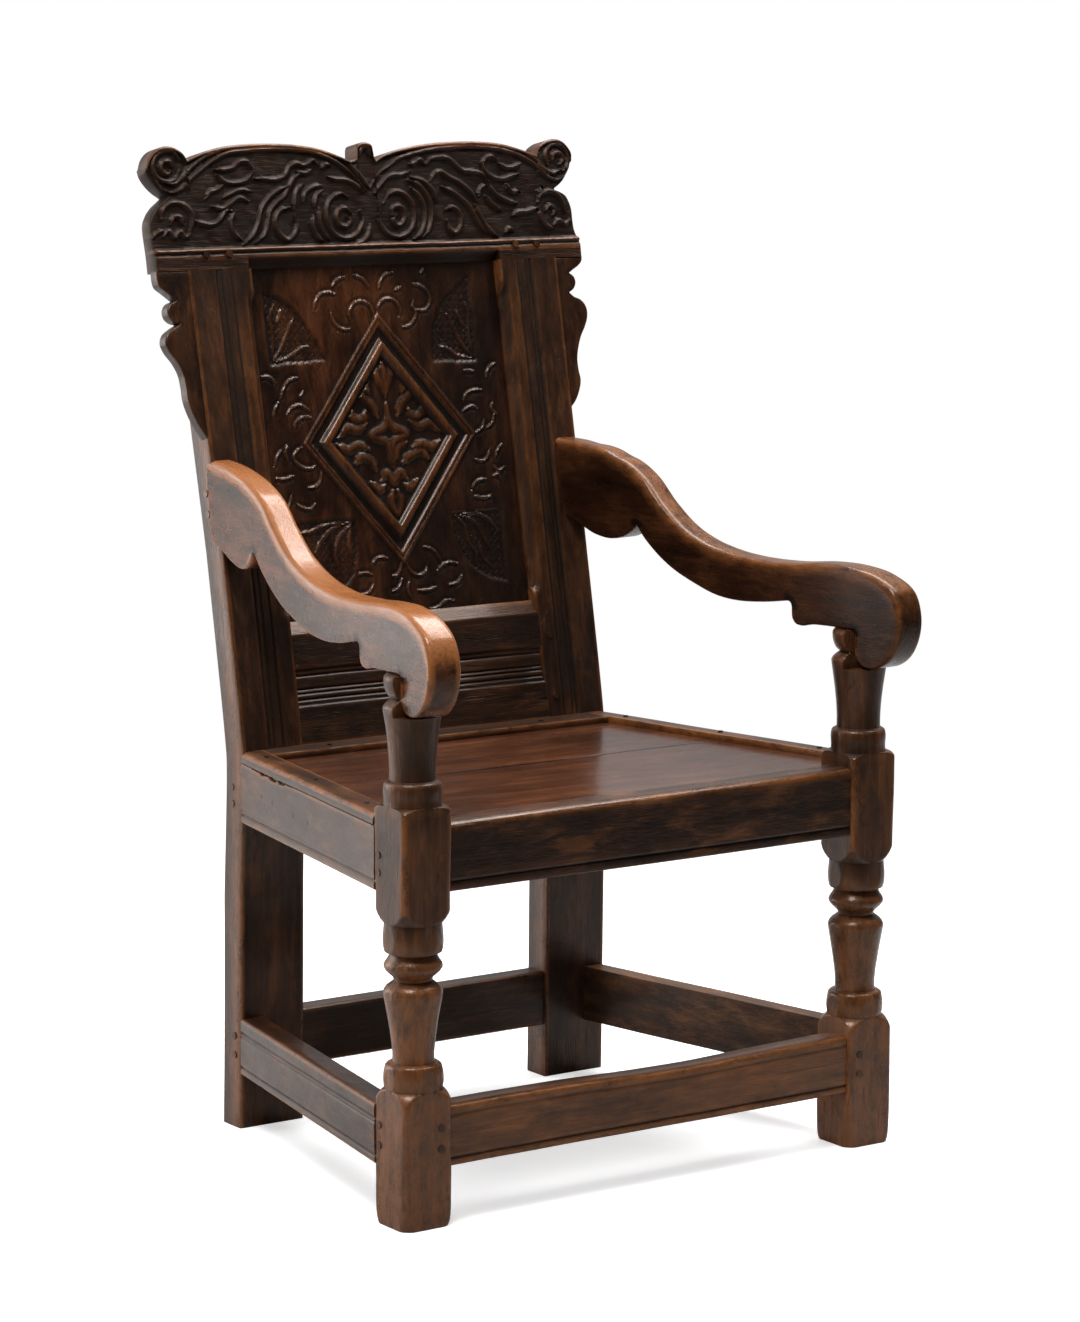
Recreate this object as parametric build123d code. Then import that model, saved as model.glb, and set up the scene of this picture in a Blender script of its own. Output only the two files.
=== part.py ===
from build123d import *
from math import cos, radians, sin, tan
import os

# A joined oak armchair with a panelled back. Millimetres, +Z up, -Y towards the sitter's knees,
# +X to the right of a front view. The origin is on the floor under the middle of the whole chair.
# Most pieces are made for the right-hand side and mirrored for the left.

# ---------------------------------------------------------------- driving sizes
# the whole chair
leg_spacing = 604.5          # between the axes of the front legs
back_width = 518.0           # over the outer faces of the rear stiles
foot_depth = 505.0           # front of the front feet to the back of the rear feet
seat_height = 439.0          # top of the seat boards and of the front seat rail
arm_rest_height = 596.0      # underside of the arms where they bear on the front legs
arm_rear_height = 776.0      # top of the arms where they meet the stiles
back_length = 572.0          # from the knee of a stile up its slope to the crest rail
rake = 11.0                  # backward lean of the back above the seat, degrees

# stock
leg_block = 62.5             # square of the front legs
leg_arris_radius = 43.0      # turned radius that softens the corners of the square
stile_width = 86.0
stile_thickness = 38.0
side_rail_thickness = 38.0
front_rail_thickness = 34.0
back_rail_thickness = 28.0
lower_rail_thickness = 30.0
stretcher_thickness = 28.0
seat_board_thickness = 16.0
arm_thickness = 38.0
arm_taper = 7.0              # the arms are this much thinner where they meet the stiles
crest_thickness = 30.0
bracket_thickness = 17.0
panel_thickness = 12.0

# rails and stretchers
seat_rail_height = 76.0      # from the underside of all the seat rails up to the seat
side_rail_drop = 5.0         # the side rails stop this far below the seat
stretcher_bottom = 64.0
stretcher_height = 67.0
front_setback = 5.0          # faces of the front members behind the faces of the legs
low_rail_setback = 3.0       # face of the back stretcher behind the faces of the stiles
knee_drop = 9.0              # the stiles start to lean back this far below the seat
knee_radius = 160.0
foot_kick = 6.0              # how far the rear feet stand back behind the knee
nosing_radius = 6.0
bead_depth = 1.6             # sunk lines scratched along the rails and stiles
bead_width = 2.4
bead_rise = 10.0             # bead above the lower edge of a rail
upper_bead = 16.0            # bead below the upper edge of a stretcher

# front leg turning, from the floor up
foot_block_height = 150.0
foot_shoulder = 24.0         # height of the rounded top of the foot block
foot_wear = 4.0              # worn arris round the bottom of a foot
collar_height = 27.0
collar_radius = 31.5
rim = 4.0                    # bevels and small ledges of the turning
neck_radius = 23.5
vase_radius = 32.0
vase_neck_height = 13.0      # from the fullest part of the vase up to the bead
bead_height = 31.0
neck_height = 6.0            # slope between the bead's neck and the collar
block_shoulder = 33.0        # rounded lower end of the seat block
block_drop = 33.0            # seat block below the seat rails
block_rise = 18.0            # seat block above the seat
upper_shoulder = 10.0
upper_collar_height = 26.0
support_radius = 25.0        # arm support at its foot
cushion_height = 22.0        # rounded pad under the arm
cushion_slope = 10.0
cushion_neck_radius = 22.0

# arms
arm_nose = 80.0              # nose in front of the leg axis
arm_nose_drop = 43.0         # rounded end of the nose below the bearing
arm_lobe_back = -9.0         # rear of that end from the leg axis
arm_waist = 68.0             # depth of the arm above its bearing
arm_heel = 93.0              # end of the bearing block behind the leg axis
arm_belly = 12.0             # lowest part of the sweep above the bearing
arm_notch_back = 134.0       # notch in front of the stile
arm_notch_drop = 93.0        # notch below the top of the arm's rear end
arm_pin_radius = 10.0
arm_pin_length = 38.0
arm_pin_setback = 7.0

# the back frame, in its own leaning plane
lower_rail_foot = 14.0       # bottom of the lower back rail above the knee
lower_rail_top = 143.0       # front arris of that rail, below its sloping sill
sill_rise = 16.0
panel_recess = 13.0          # face of the panel behind the face of the frame
panel_lip = 8.0              # held in its grooves by this much
soffit_chamfer = 13.0        # along the lower edge of the crest rail
stile_chamfer = 9.0          # along the inner edges of the stiles
chamfer_stop = 38.0          # plain length left above that chamfer
stile_run_inset = 26.0       # moulded run on each stile from its inner edge
stile_run_width = 22.0
rail_beads = (100.0, 93.0, 78.0, 71.0, 62.0)    # on the lower back rail, above the knee
lozenge_width = 236.0
lozenge_height = 288.0
lozenge_border = 34.0
lozenge_relief = 3.0

# crest rail and brackets
crest_height = 145.0
crest_overhang = 39.0        # ears beyond the stiles
ear_radius = 26.0
crest_foot = 22.0            # square part at the foot of each end
crest_bulge = (5.0, -1.0)    # rounded ends inside the ends of the foot, right and left
ear_shift = (0.0, 5.0)       # the left scroll was cut closer in
bud_width = 34.0
bud_offset = -6.0            # the middle bud stands a little to the left
bracket_length = (183.0, 196.0)     # right and left, cut by eye
bracket_cove = (19.5, 34.0)
bracket_setback = 1.5

# joints
tenon_thickness = 10.0
tenon_length = 30.0
cross_tenon_length = 38.0
arm_tenon_length = 16.0      # past the point where the top of the arm meets the stile
arm_tenon_height = 52.0
crest_tenon_length = 42.0
tenon_shoulder = 11.0        # shoulder above and below a tenon
mortise_gap = 0.25           # round a tenon in its mortise
mortise_end_gap = 2.0        # beyond the end of a tenon
housing_gap = 0.3            # round the arm's nose and the panel's edges
board_gap = 1.0              # between the seat boards and what surrounds them
board_joint = 0.4            # between one seat board and the next
board_lap = 16.0             # of the rear board on the back rail
tongue_length = 7.0          # tongue of the front board in the front rail
tongue_thickness = 6.0
peg_radius = 4.2
peg_gap = 0.05
peg_proud = 1.0              # how far a peg's end stands proud of its face
nail_radius = 1.6
nail_head_radius = 3.0
nail_head_height = 1.4
nail_length = 26.0
nail_sink = 0.4              # the seat nails are punched this far below the surface
bracket_nail_length = 46.0

# seat edging
edging_width = 30.0
edging_height = 7.5          # above the seat boards
edging_round = 7.0
back_edging_width = 36.0

# ---------------------------------------------------------------- places worked out from them
lean_sin = sin(radians(rake))
lean_cos = cos(radians(rake))
seat_run = foot_depth - leg_block / 2 - stile_thickness - foot_kick
crest_reach = seat_run + (back_length + crest_height) * lean_sin + crest_thickness * lean_cos
leg_x = leg_spacing / 2
leg_y = (arm_nose - crest_reach) / 2
front_y = leg_y - leg_block / 2
leg_back_y = leg_y + leg_block / 2
leg_inner = leg_x - leg_block / 2
leg_outer = leg_x + leg_block / 2
stile_y = leg_y + seat_run
stile_foot_y = stile_y + foot_kick
stile_outer = back_width / 2
stile_inner = stile_outer - stile_width
side_slope = (leg_outer - stile_outer) / (stile_y - leg_back_y)
side_stretch = (1 + side_slope**2) ** 0.5
board_bottom = seat_height - seat_board_thickness
seat_rail_bottom = seat_height - seat_rail_height
knee_height = seat_height - knee_drop
edging_top = seat_height + edging_height
side_rail_top = seat_height - side_rail_drop
member_y = front_y + front_setback
crest_half = stile_outer + crest_overhang

# height of each kind of member, and its depth where it runs across the chair
seat_rail_z = (seat_rail_bottom, board_bottom)
stretcher_z = (stretcher_bottom, stretcher_bottom + stretcher_height)
front_rail_y = (member_y, member_y + front_rail_thickness)
front_stretcher_y = (member_y, member_y + stretcher_thickness)
back_rail_y = (stile_y, stile_y + back_rail_thickness)
low_rail_y = stile_foot_y + low_rail_setback
back_stretcher_y = (low_rail_y, low_rail_y + stretcher_thickness)
lower_rail_s = (lower_rail_foot, lower_rail_top + sill_rise)

# the leaning plane of the back: x across, y up the slope, z out of its face
back_plane = Plane(origin=(0, stile_y, knee_height), x_dir=(1, 0, 0), z_dir=(0, -lean_cos, lean_sin))

# the plane of the right-hand arm over its leg: x back along the arm, y up, z outwards
arm_rise = arm_rear_height - arm_rest_height
arm_end_y = stile_y + (arm_rear_height - knee_height) * lean_sin / lean_cos
arm_slope = (leg_x + arm_thickness / 2 - stile_outer) / (arm_end_y - leg_y)
arm_run = (arm_end_y - leg_y) * (1 + arm_slope**2) ** 0.5
arm_plane = Plane(origin=(leg_x, leg_y, arm_rest_height), x_dir=(-arm_slope, 1, 0), z_dir=(1, arm_slope, 0))

# seat boards
seat_front = front_rail_y[1] + board_joint
seat_middle = (seat_front + stile_y) / 2
seat_back = stile_y + board_lap
board_inset = edging_width + board_gap


# ---------------------------------------------------------------- helpers
def save(node, shape):
    """Write one named sub-part."""
    solids = list(shape.solids())
    export_step(solids[0] if len(solids) == 1 else Compound(children=solids), f"parts/{node}.step")


def grow(span, by):
    """A low and high place, each moved outwards."""
    return (span[0] - by, span[1] + by)


def centred(span, size):
    """A span of a given size in the middle of another."""
    middle = (span[0] + span[1]) / 2
    return (middle - size / 2, middle + size / 2)


def block(x, y, z, plane=Plane.XY):
    """A box given by its low and high place along each axis of a plane."""
    size = (x[1] - x[0], y[1] - y[0], z[1] - z[0])
    centre = (sum(x) / 2, sum(y) / 2, sum(z) / 2)
    return plane * Pos(*centre) * Box(*size)


def leaning(x, s, depth):
    """A box in the plane of the back: across, up the slope, and depth behind its face."""
    return block(x, s, (-depth[1], -depth[0]), back_plane)


def slab(outline, z):
    """A flat-topped solid on a plan outline."""
    face = make_face(Polyline(*outline, close=True).edges())
    return Pos(0, 0, z[0]) * extrude(face, z[1] - z[0], dir=(0, 0, 1))


def outlined(pieces):
    """A flat face inside a closed chain of lines and curves."""
    return make_face([edge for piece in pieces for edge in piece.edges()])


def side_x(y, inset):
    """Place across the chair of a line parallel to the splayed outer face of its right side."""
    return leg_outer - (y - leg_back_y) * side_slope - inset * side_stretch


def side_bar(y, inset, z):
    """A bar along the splayed right side, between two places in depth and two insets."""
    corners = [(side_x(place, edge), place) for edge in inset for place in y]
    return slab([corners[0], corners[1], corners[3], corners[2]], z)


def other_side(shape):
    """The left-hand twin of a right-hand shape."""
    return mirror(shape, about=Plane.YZ)


def both_sides(shape):
    return shape + other_side(shape)


def first_in_depth(shape):
    """The foremost solid left after a cut."""
    return shape.solids().sort_by(Axis.Y)[0]


def rod(start, end, radius):
    """A round rod between two points."""
    line = Line(start, end)
    return extrude(Plane(origin=start, z_dir=line @ 1 - line @ 0) * Circle(radius), line.length)


def behind_back(x, s, depth):
    """A point in the frame of the chair, given in the plane of the back."""
    return tuple((back_plane * Pos(x, s, -depth)).position)


# ---------------------------------------------------------------- pegs and nails
into_back = (0, lean_cos, -lean_sin)


def along(start, way, near, far, radius):
    """A rod along a direction, from and to given distances past a start."""
    step = Vector(*way).normalized()
    origin = Vector(*start)
    return rod(origin + step * near, origin + step * far, radius)


def peg(place):
    start, way, length = place
    return along(start, way, -peg_proud, length, peg_radius)


def peg_hole(place):
    start, way, length = place
    return along(start, way, -2 * peg_proud, length + mortise_end_gap, peg_radius + peg_gap)


def nail(place):
    """A nail with a low round head."""
    start, way, length = place
    head = along(start, way, -nail_head_height, 0, nail_head_radius)
    return head + along(start, way, 0, length, nail_radius)


def nail_hole(place):
    """Hole for a nail, open outwards above its head."""
    start, way, length = place
    above = along(start, way, -stile_width, 0, nail_head_radius + peg_gap)
    return above + along(start, way, 0, length + mortise_end_gap, nail_radius + peg_gap)


def left_places(places):
    return [((-s[0], s[1], s[2]), (-w[0], w[1], w[2]), length) for s, w, length in places]


def all_places(places):
    return places + left_places(places)


def drilled(shape, places, hole=peg_hole):
    """A shape with a hole for every fastener."""
    for place in places:
        shape = shape - hole(place)
    return shape


def peg_heights(z):
    """The two pegs through a tenon, a quarter of the way in from its edges."""
    tenon = grow(z, -tenon_shoulder)
    inset = (tenon[1] - tenon[0]) / 4
    return (tenon[0] + inset, tenon[1] - inset)


def leg_peg_places():
    """Pegs of the side members from the outside, and of the front members from the front."""
    places = []
    for z in peg_heights(seat_rail_z) + peg_heights(stretcher_z):
        places.append(((leg_outer, leg_back_y - tenon_length * 0.4, z), (-1, 0, 0), leg_block * 0.62))
        places.append(((leg_inner + cross_tenon_length * 0.4, front_y, z), (0, 1, 0), leg_block * 0.62))
    return places


def stile_peg_places():
    """Pegs of the side members through the outer faces of the stiles."""
    return [
        ((stile_outer, stile_y + stile_thickness * 0.47, z), (-1, 0, 0), stile_width * 0.45)
        for z in peg_heights(seat_rail_z) + peg_heights(stretcher_z)
    ]


def arm_peg_places():
    """Pegs through the outer faces of the stiles into the arm tenons."""
    places = []
    for drop in (arm_tenon_height * 0.75, arm_tenon_height * 1.2):
        z = arm_rear_height - drop
        y = stile_y + (z - knee_height) * lean_sin / lean_cos + tenon_length * 0.4
        places.append(((stile_outer, y, z), (-1, 0, 0), stile_width * 0.4))
    return places


def back_frame_peg_places():
    """Pegs through the faces of the stiles into the lower rail, and of the crest into the stiles."""
    places = []
    for s in (lower_rail_foot + tenon_shoulder * 2.5, lower_rail_top - tenon_shoulder * 2.5):
        start = behind_back(stile_inner + cross_tenon_length * 0.42, s, 0)
        places.append((start, into_back, stile_thickness * 0.92))
    for share in (0.32, 0.68):
        start = behind_back(stile_inner + stile_width * share, back_length + crest_tenon_length * 0.43, 0)
        places.append((start, into_back, crest_thickness * 0.9))
    return places


def bracket_nail_places():
    """Nails sunk in the edges of the right-hand bracket."""
    x = stile_outer + crest_overhang * 0.65
    depth = bracket_setback + bracket_thickness / 2
    drops = (bracket_cove[0] * 0.4, bracket_length[0] * 0.42)
    return [(behind_back(x, back_length - drop, depth), (-1, 0, 0), bracket_nail_length) for drop in drops]


def edging_nail_places():
    """Nails down through the side edging into the side rails."""
    places = []
    for share in (0.12, 0.5, 0.88):
        y = leg_back_y + (stile_y - leg_back_y) * share
        places.append(((side_x(y, edging_width / 2), y, edging_top), (0, 0, -1), nail_length))
    return places


def back_edging_nail_places():
    """Short nails down through the back edging into the rear board."""
    y = stile_y - back_edging_width / 2
    spread = stile_inner * 0.86
    return [((x, y, edging_top), (0, 0, -1), nail_length * 0.75) for x in (-spread, 0.0, spread)]


def seat_nail_places():
    """Nails that hold both seat boards down on the ledges of the side rails, punched in."""
    head_foot = seat_height - nail_sink - nail_head_height
    edges = (seat_front, seat_middle, seat_middle, stile_y - back_edging_width)
    places = []
    for edge, step in zip(edges, (35.0, -30.0, 30.0, -25.0)):
        y = edge + step
        x = side_x(y, board_inset + 1.2 * nail_head_radius)
        places.append(((x, y, head_foot), (0, 0, -1), nail_length))
    return places


# ---------------------------------------------------------------- tenons, and the mortises cut for them
def side_tenon(y, thickness, z, gap=0.0):
    """Tenon of a splayed side member; with a gap it is the mortise."""
    inset = grow(centred((0, thickness), tenon_thickness), gap)
    return side_bar(y, inset, grow(z, gap - tenon_shoulder))


def side_tenons(thickness, z, gap=0.0, end_gap=0.0):
    """Both tenons of a right-hand side member, in the leg and in the stile."""
    in_leg = side_tenon((leg_back_y - tenon_length - end_gap, leg_back_y + 2.0), thickness, z, gap)
    reach = stile_y + tenon_length * 0.9
    in_stile = side_tenon((stile_y - foot_kick - 2.0, reach + end_gap), thickness, z, gap)
    return in_leg + in_stile


def cross_tenons(shoulder, length, y, z, gap=0.0, end_gap=0.0):
    """Both tenons of a member that runs across the chair."""
    height = grow(z, gap - tenon_shoulder)
    span = (shoulder - 2.0, shoulder + length + end_gap)
    return both_sides(block(span, grow(centred(y, tenon_thickness), gap), height))


def front_tenons(y, z, gap=0.0, end_gap=0.0):
    return cross_tenons(leg_inner, cross_tenon_length * 0.9, y, z, gap, end_gap)


def back_tenons(y, z, gap=0.0, end_gap=0.0):
    return cross_tenons(stile_inner, cross_tenon_length, y, z, gap, end_gap)


def lower_rail_tenons(gap=0.0, end_gap=0.0):
    span = (stile_inner - 2.0, stile_inner + cross_tenon_length + end_gap)
    rise = grow((lower_rail_foot, lower_rail_top), gap - tenon_shoulder)
    return both_sides(leaning(span, rise, grow(centred((0, lower_rail_thickness), tenon_thickness), gap)))


def crest_tenon(gap=0.0, end_gap=0.0):
    """Tenon on the top of the right-hand stile."""
    span = grow((stile_inner, stile_outer), gap - tenon_shoulder)
    rise = (back_length - 2.0, back_length + crest_tenon_length + end_gap)
    return leaning(span, rise, grow(centred((0, crest_thickness), tenon_thickness), gap))


def arm_tenon(gap=0.0, end_gap=0.0):
    """Tenon on the rear end of the right-hand arm, let into the leaning face of the stile."""
    top = arm_rise - tenon_shoulder * 2
    face_lean = (arm_rise - top + arm_tenon_height) * lean_sin / lean_cos
    reach = (arm_run - face_lean - 2.0, arm_run + arm_tenon_length + end_gap)
    across = centred((arm_taper - arm_thickness / 2, arm_thickness / 2), tenon_thickness)
    return block(reach, grow((top - arm_tenon_height, top), gap), grow(across, gap), arm_plane)


def arm_pin(gap=0.0, end_gap=0.0):
    """Round pin on top of the right-hand leg that enters the arm."""
    foot = (leg_x, leg_y + arm_pin_setback, arm_rest_height - rim)
    head = (leg_x, leg_y + arm_pin_setback, arm_rest_height + arm_pin_length + end_gap)
    return rod(foot, head, arm_pin_radius + gap)


def panel_span(gap=0.0):
    """Width and height of the back panel with its lips, grown by a gap for the grooves."""
    x = grow((-stile_inner, stile_inner), panel_lip + gap)
    s = grow((lower_rail_s[1], back_length), panel_lip + gap)
    return x, s


def panel_groove():
    x, s = panel_span(housing_gap)
    return leaning(x, s, grow((panel_recess, panel_recess + panel_thickness), housing_gap))


# ---------------------------------------------------------------- front legs
def leg_outline():
    """Half outline of the turning, up the axis of a leg."""
    block_bottom = seat_rail_bottom - block_drop
    block_top = seat_height + block_rise
    foot_collar_top = foot_block_height + collar_height
    collar_foot = block_bottom - collar_height
    bead_top = collar_foot - neck_height
    bead_bottom = bead_top - bead_height
    vase_bottom = foot_collar_top + rim
    vase_top = bead_bottom - vase_neck_height
    support_foot = block_top + upper_collar_height + rim / 2
    cushion_bottom = arm_rest_height - cushion_height
    support_top = cushion_bottom - cushion_slope
    corner = leg_arris_radius
    foot_block_top = foot_block_height - foot_shoulder
    return outlined([
        Polyline((0, 0), (corner - foot_wear, 0), (corner, foot_wear), (corner, foot_block_top)),
        ThreePointArc(
            (corner, foot_block_top),
            (corner - rim, foot_block_height - foot_shoulder * 0.4),
            (collar_radius, foot_block_height),
        ),
        Polyline(
            (collar_radius, foot_block_height),
            (collar_radius, foot_collar_top - rim),
            (collar_radius - rim, foot_collar_top),
            (neck_radius, foot_collar_top),
            (neck_radius, vase_bottom),
        ),
        Spline(
            (neck_radius, vase_bottom),
            ((neck_radius + vase_radius) / 2 - 1.5, (vase_bottom + vase_top) / 2),
            (vase_radius, vase_top),
            (neck_radius, bead_bottom),
            tangents=((0, 1), (-1, 1)),
        ),
        ThreePointArc(
            (neck_radius, bead_bottom),
            (collar_radius, (bead_bottom + bead_top) / 2),
            (neck_radius, bead_top),
        ),
        Polyline((neck_radius, bead_top), (collar_radius, collar_foot), (collar_radius, block_bottom)),
        ThreePointArc(
            (collar_radius, block_bottom),
            (corner - rim, block_bottom + block_shoulder * 0.5),
            (corner, block_bottom + block_shoulder),
        ),
        Line((corner, block_bottom + block_shoulder), (corner, block_top - upper_shoulder)),
        ThreePointArc(
            (corner, block_top - upper_shoulder),
            (corner - rim, block_top - upper_shoulder * 0.35),
            (collar_radius, block_top),
        ),
        Polyline(
            (collar_radius, block_top),
            (collar_radius, block_top + upper_collar_height - rim),
            (collar_radius - rim, block_top + upper_collar_height),
            (support_radius, support_foot),
        ),
        Spline(
            (support_radius, support_foot),
            (support_radius + 2.0, (support_foot + support_top) / 2),
            (vase_radius, support_top),
            tangents=((0, 1), (0.2, 1)),
        ),
        Line((vase_radius, support_top), (cushion_neck_radius, cushion_bottom)),
        ThreePointArc(
            (cushion_neck_radius, cushion_bottom),
            (collar_radius - rim, cushion_bottom + cushion_height * 0.35),
            (collar_radius, arm_rest_height - rim),
        ),
        Polyline(
            (collar_radius, arm_rest_height - rim),
            (collar_radius, arm_rest_height),
            (0, arm_rest_height),
            (0, 0),
        ),
    ])


def arm_housing():
    """Room cut in the front of a leg's top for the hanging end of the arm's nose."""
    reach = (-arm_nose, arm_lobe_back + housing_gap)
    return block(reach, (-arm_nose_drop - housing_gap, rim), (-leg_block, leg_block), arm_plane)


def front_leg():
    """The right-hand leg: a square post that meets its turning in rounded shoulders."""
    half = leg_block / 2
    turned = revolve(Plane.XZ * leg_outline(), Axis.Z)
    post = turned & block((-half, half), (-half, half), (0, arm_rest_height))
    leg = Pos(leg_x, leg_y, 0) * post - arm_housing() + arm_pin()
    leg -= side_tenons(side_rail_thickness, seat_rail_z, mortise_gap, mortise_end_gap)
    leg -= side_tenons(stretcher_thickness, stretcher_z, mortise_gap, mortise_end_gap)
    leg -= front_tenons(front_rail_y, seat_rail_z, mortise_gap, mortise_end_gap)
    leg -= front_tenons(front_stretcher_y, stretcher_z, mortise_gap, mortise_end_gap)
    return drilled(leg, leg_peg_places())


# ---------------------------------------------------------------- rear stiles
def stile_blank():
    """The right-hand stile before its joints: plumb foot, rounded knee, leaning back."""
    top = (stile_y + back_length * lean_sin, knee_height + back_length * lean_cos)
    back_top = (top[0] + stile_thickness * lean_cos, top[1] - stile_thickness * lean_sin)
    back_knee_z = knee_height - stile_thickness * tan(radians(rake) / 2)
    back_knee_y = stile_foot_y + stile_thickness - back_knee_z * foot_kick / knee_height
    outline = Polyline(
        (stile_foot_y, 0),
        (stile_y, knee_height),
        top,
        back_top,
        (back_knee_y, back_knee_z),
        (stile_foot_y + stile_thickness, 0),
        close=True,
    )
    face = make_face(outline.edges())
    for height, radius in ((knee_height, knee_radius + stile_thickness), (back_knee_z, knee_radius)):
        face = fillet([corner for corner in face.vertices() if abs(corner.Y - height) < 0.01], radius)
    return Plane.YZ * Pos(0, 0, stile_inner) * extrude(face, stile_width)


stile_body = stile_blank()


def stile_inner_chamfer():
    """Chamfer along the inner front edge, stopped below the crest rail."""
    span = (lower_rail_s[1] + bead_rise, back_length - chamfer_stop)
    face = make_face(Polyline((0, 0), (stile_chamfer, 0), (0, -stile_chamfer), close=True).edges())
    at_foot = back_plane * Pos(stile_inner, span[0], 0) * Rot(90, 0, 0) * face
    return extrude(at_foot, span[1] - span[0], dir=(0, lean_sin, lean_cos))


def stile_run():
    """The moulded run up the face of the stile."""
    inner = stile_inner + stile_run_inset
    outer = inner + stile_run_width
    rise = (lower_rail_foot, back_length)
    hollow = leaning((outer - 4 * bead_width, outer), rise, (-1.0, bead_depth))
    return hollow + leaning((inner, inner + bead_width), rise, (-1.0, bead_depth))


def rear_stile():
    stile = stile_body + crest_tenon() - panel_groove()
    stile -= side_tenons(side_rail_thickness, seat_rail_z, mortise_gap, mortise_end_gap)
    stile -= side_tenons(stretcher_thickness, stretcher_z, mortise_gap, mortise_end_gap)
    stile -= back_tenons(back_rail_y, seat_rail_z, mortise_gap, mortise_end_gap)
    stile -= back_tenons(back_stretcher_y, stretcher_z, mortise_gap, mortise_end_gap)
    stile -= lower_rail_tenons(mortise_gap, mortise_end_gap) + arm_tenon(mortise_gap, mortise_end_gap)
    stile = stile - stile_run() - stile_inner_chamfer()
    stile = drilled(stile, stile_peg_places() + arm_peg_places() + back_frame_peg_places())
    return drilled(stile, bracket_nail_places(), nail_hole)


# ---------------------------------------------------------------- rails and stretchers
def front_bead(z):
    """A fine sunk line along the face of a front member."""
    depth = (member_y - 1.0, member_y + bead_depth)
    return block((-leg_inner, leg_inner), depth, centred((z, z), bead_width))


def side_bead(z):
    """A fine sunk line along the outer face of a right-hand side member."""
    return side_bar((leg_back_y, stile_y), (-1.0, bead_depth), centred((z, z), bead_width))


def front_seat_rail():
    """Rail whose rounded top edge is the front of the seat, grooved behind for the front board."""
    rail = block((-leg_inner, leg_inner), front_rail_y, (seat_rail_bottom, seat_height))
    top_front = rail.edges().filter_by(Axis.X).group_by(Axis.Z)[-1].sort_by(Axis.Y)[0]
    rail = fillet(top_front, nosing_radius) + front_tenons(front_rail_y, seat_rail_z)
    rail = rail - front_bead(seat_rail_bottom + bead_rise) - board_tongue(mortise_gap)
    return drilled(rail, all_places(leg_peg_places()))


def front_stretcher():
    bar = block((-leg_inner, leg_inner), front_stretcher_y, stretcher_z)
    bar += front_tenons(front_stretcher_y, stretcher_z)
    bar = bar - front_bead(stretcher_z[1] - upper_bead) - front_bead(stretcher_z[0] + bead_rise)
    return drilled(bar, all_places(leg_peg_places()))


def side_member(thickness, z, tenon_z):
    """A rail or stretcher of the right side, shouldered to the leg and to the face of the stile."""
    bar = first_in_depth(side_bar((leg_back_y, stile_foot_y + bead_rise), (0, thickness), z) - stile_body)
    bar += side_tenons(thickness, tenon_z)
    return drilled(bar, leg_peg_places() + stile_peg_places())


def side_seat_rail():
    """Side rail with a ledge for the seat boards."""
    rail = side_member(side_rail_thickness, (seat_rail_bottom, side_rail_top), seat_rail_z)
    ledge = (edging_width, side_rail_thickness + 1.0)
    rail -= side_bar((leg_back_y, stile_y + bead_rise), ledge, (board_bottom, seat_height))
    rail -= side_bead(seat_rail_bottom + bead_rise)
    return drilled(rail, edging_nail_places() + seat_nail_places(), nail_hole)


def side_stretcher():
    bar = side_member(stretcher_thickness, stretcher_z, stretcher_z)
    return bar - side_bead(stretcher_z[1] - upper_bead) - side_bead(stretcher_z[0] + bead_rise)


def back_seat_rail():
    bar = block((-stile_inner, stile_inner), back_rail_y, seat_rail_z)
    return bar + back_tenons(back_rail_y, seat_rail_z)


def back_stretcher():
    bar = block((-stile_inner, stile_inner), back_stretcher_y, stretcher_z)
    return bar + back_tenons(back_stretcher_y, stretcher_z)


# ---------------------------------------------------------------- seat
def board_tongue(gap=0.0):
    """Tongue of the front board in the back of the front rail."""
    x = grow((-leg_inner, leg_inner), gap - tongue_length)
    z = grow(centred((board_bottom, seat_height), tongue_thickness), gap)
    return block(x, (seat_front - tongue_length - 2 * gap, seat_front + 1.0), z)


def seat_board(y):
    """A board across the seat, splayed at its ends."""
    right = [(side_x(place, board_inset), place) for place in y]
    left = [(-x, place) for x, place in reversed(right)]
    return slab(right + left, (board_bottom, seat_height))


def seat_board_front():
    notch = block((leg_inner - board_gap, leg_outer), (front_y, leg_back_y + board_gap), (0, edging_top))
    board = seat_board((seat_front, seat_middle)) - both_sides(notch) + board_tongue()
    return drilled(board, all_places(seat_nail_places()), nail_hole)


def seat_board_rear():
    """The rear board, notched round the stiles and lying on the back rail."""
    x = (stile_inner - board_gap, crest_half)
    notch = block(x, (stile_y - board_gap - bead_width, seat_back + 1.0), (0, edging_top))
    board = seat_board((seat_middle + board_joint, seat_back)) - both_sides(notch)
    return drilled(board, all_places(seat_nail_places()) + back_edging_nail_places(), nail_hole)


def seat_edging_side():
    """Strip along the top of a side rail that hides the ends of the boards."""
    bar = side_bar((leg_back_y, stile_y + 4 * bead_rise), (0, edging_width), (side_rail_top, edging_top))
    top_edges = bar.edges().group_by(Axis.Z)[-1]
    long_edges = top_edges.filter_by(lambda edge: edge.length > edging_width * 2)
    bar = fillet(long_edges.sort_by(Axis.X)[-1], edging_round)
    return drilled(first_in_depth(bar - stile_body), edging_nail_places(), nail_hole)


def seat_edging_back():
    """Thin strip on the rear board in front of the back."""
    y = (stile_y - back_edging_width, stile_y)
    right = [(side_x(place, edging_width) - board_gap / 4, place) for place in y]
    left = [(-x, place) for x, place in reversed(right)]
    strip = slab(right + left, (seat_height, edging_top)) - both_sides(stile_body)
    return drilled(strip, back_edging_nail_places(), nail_hole)


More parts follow.
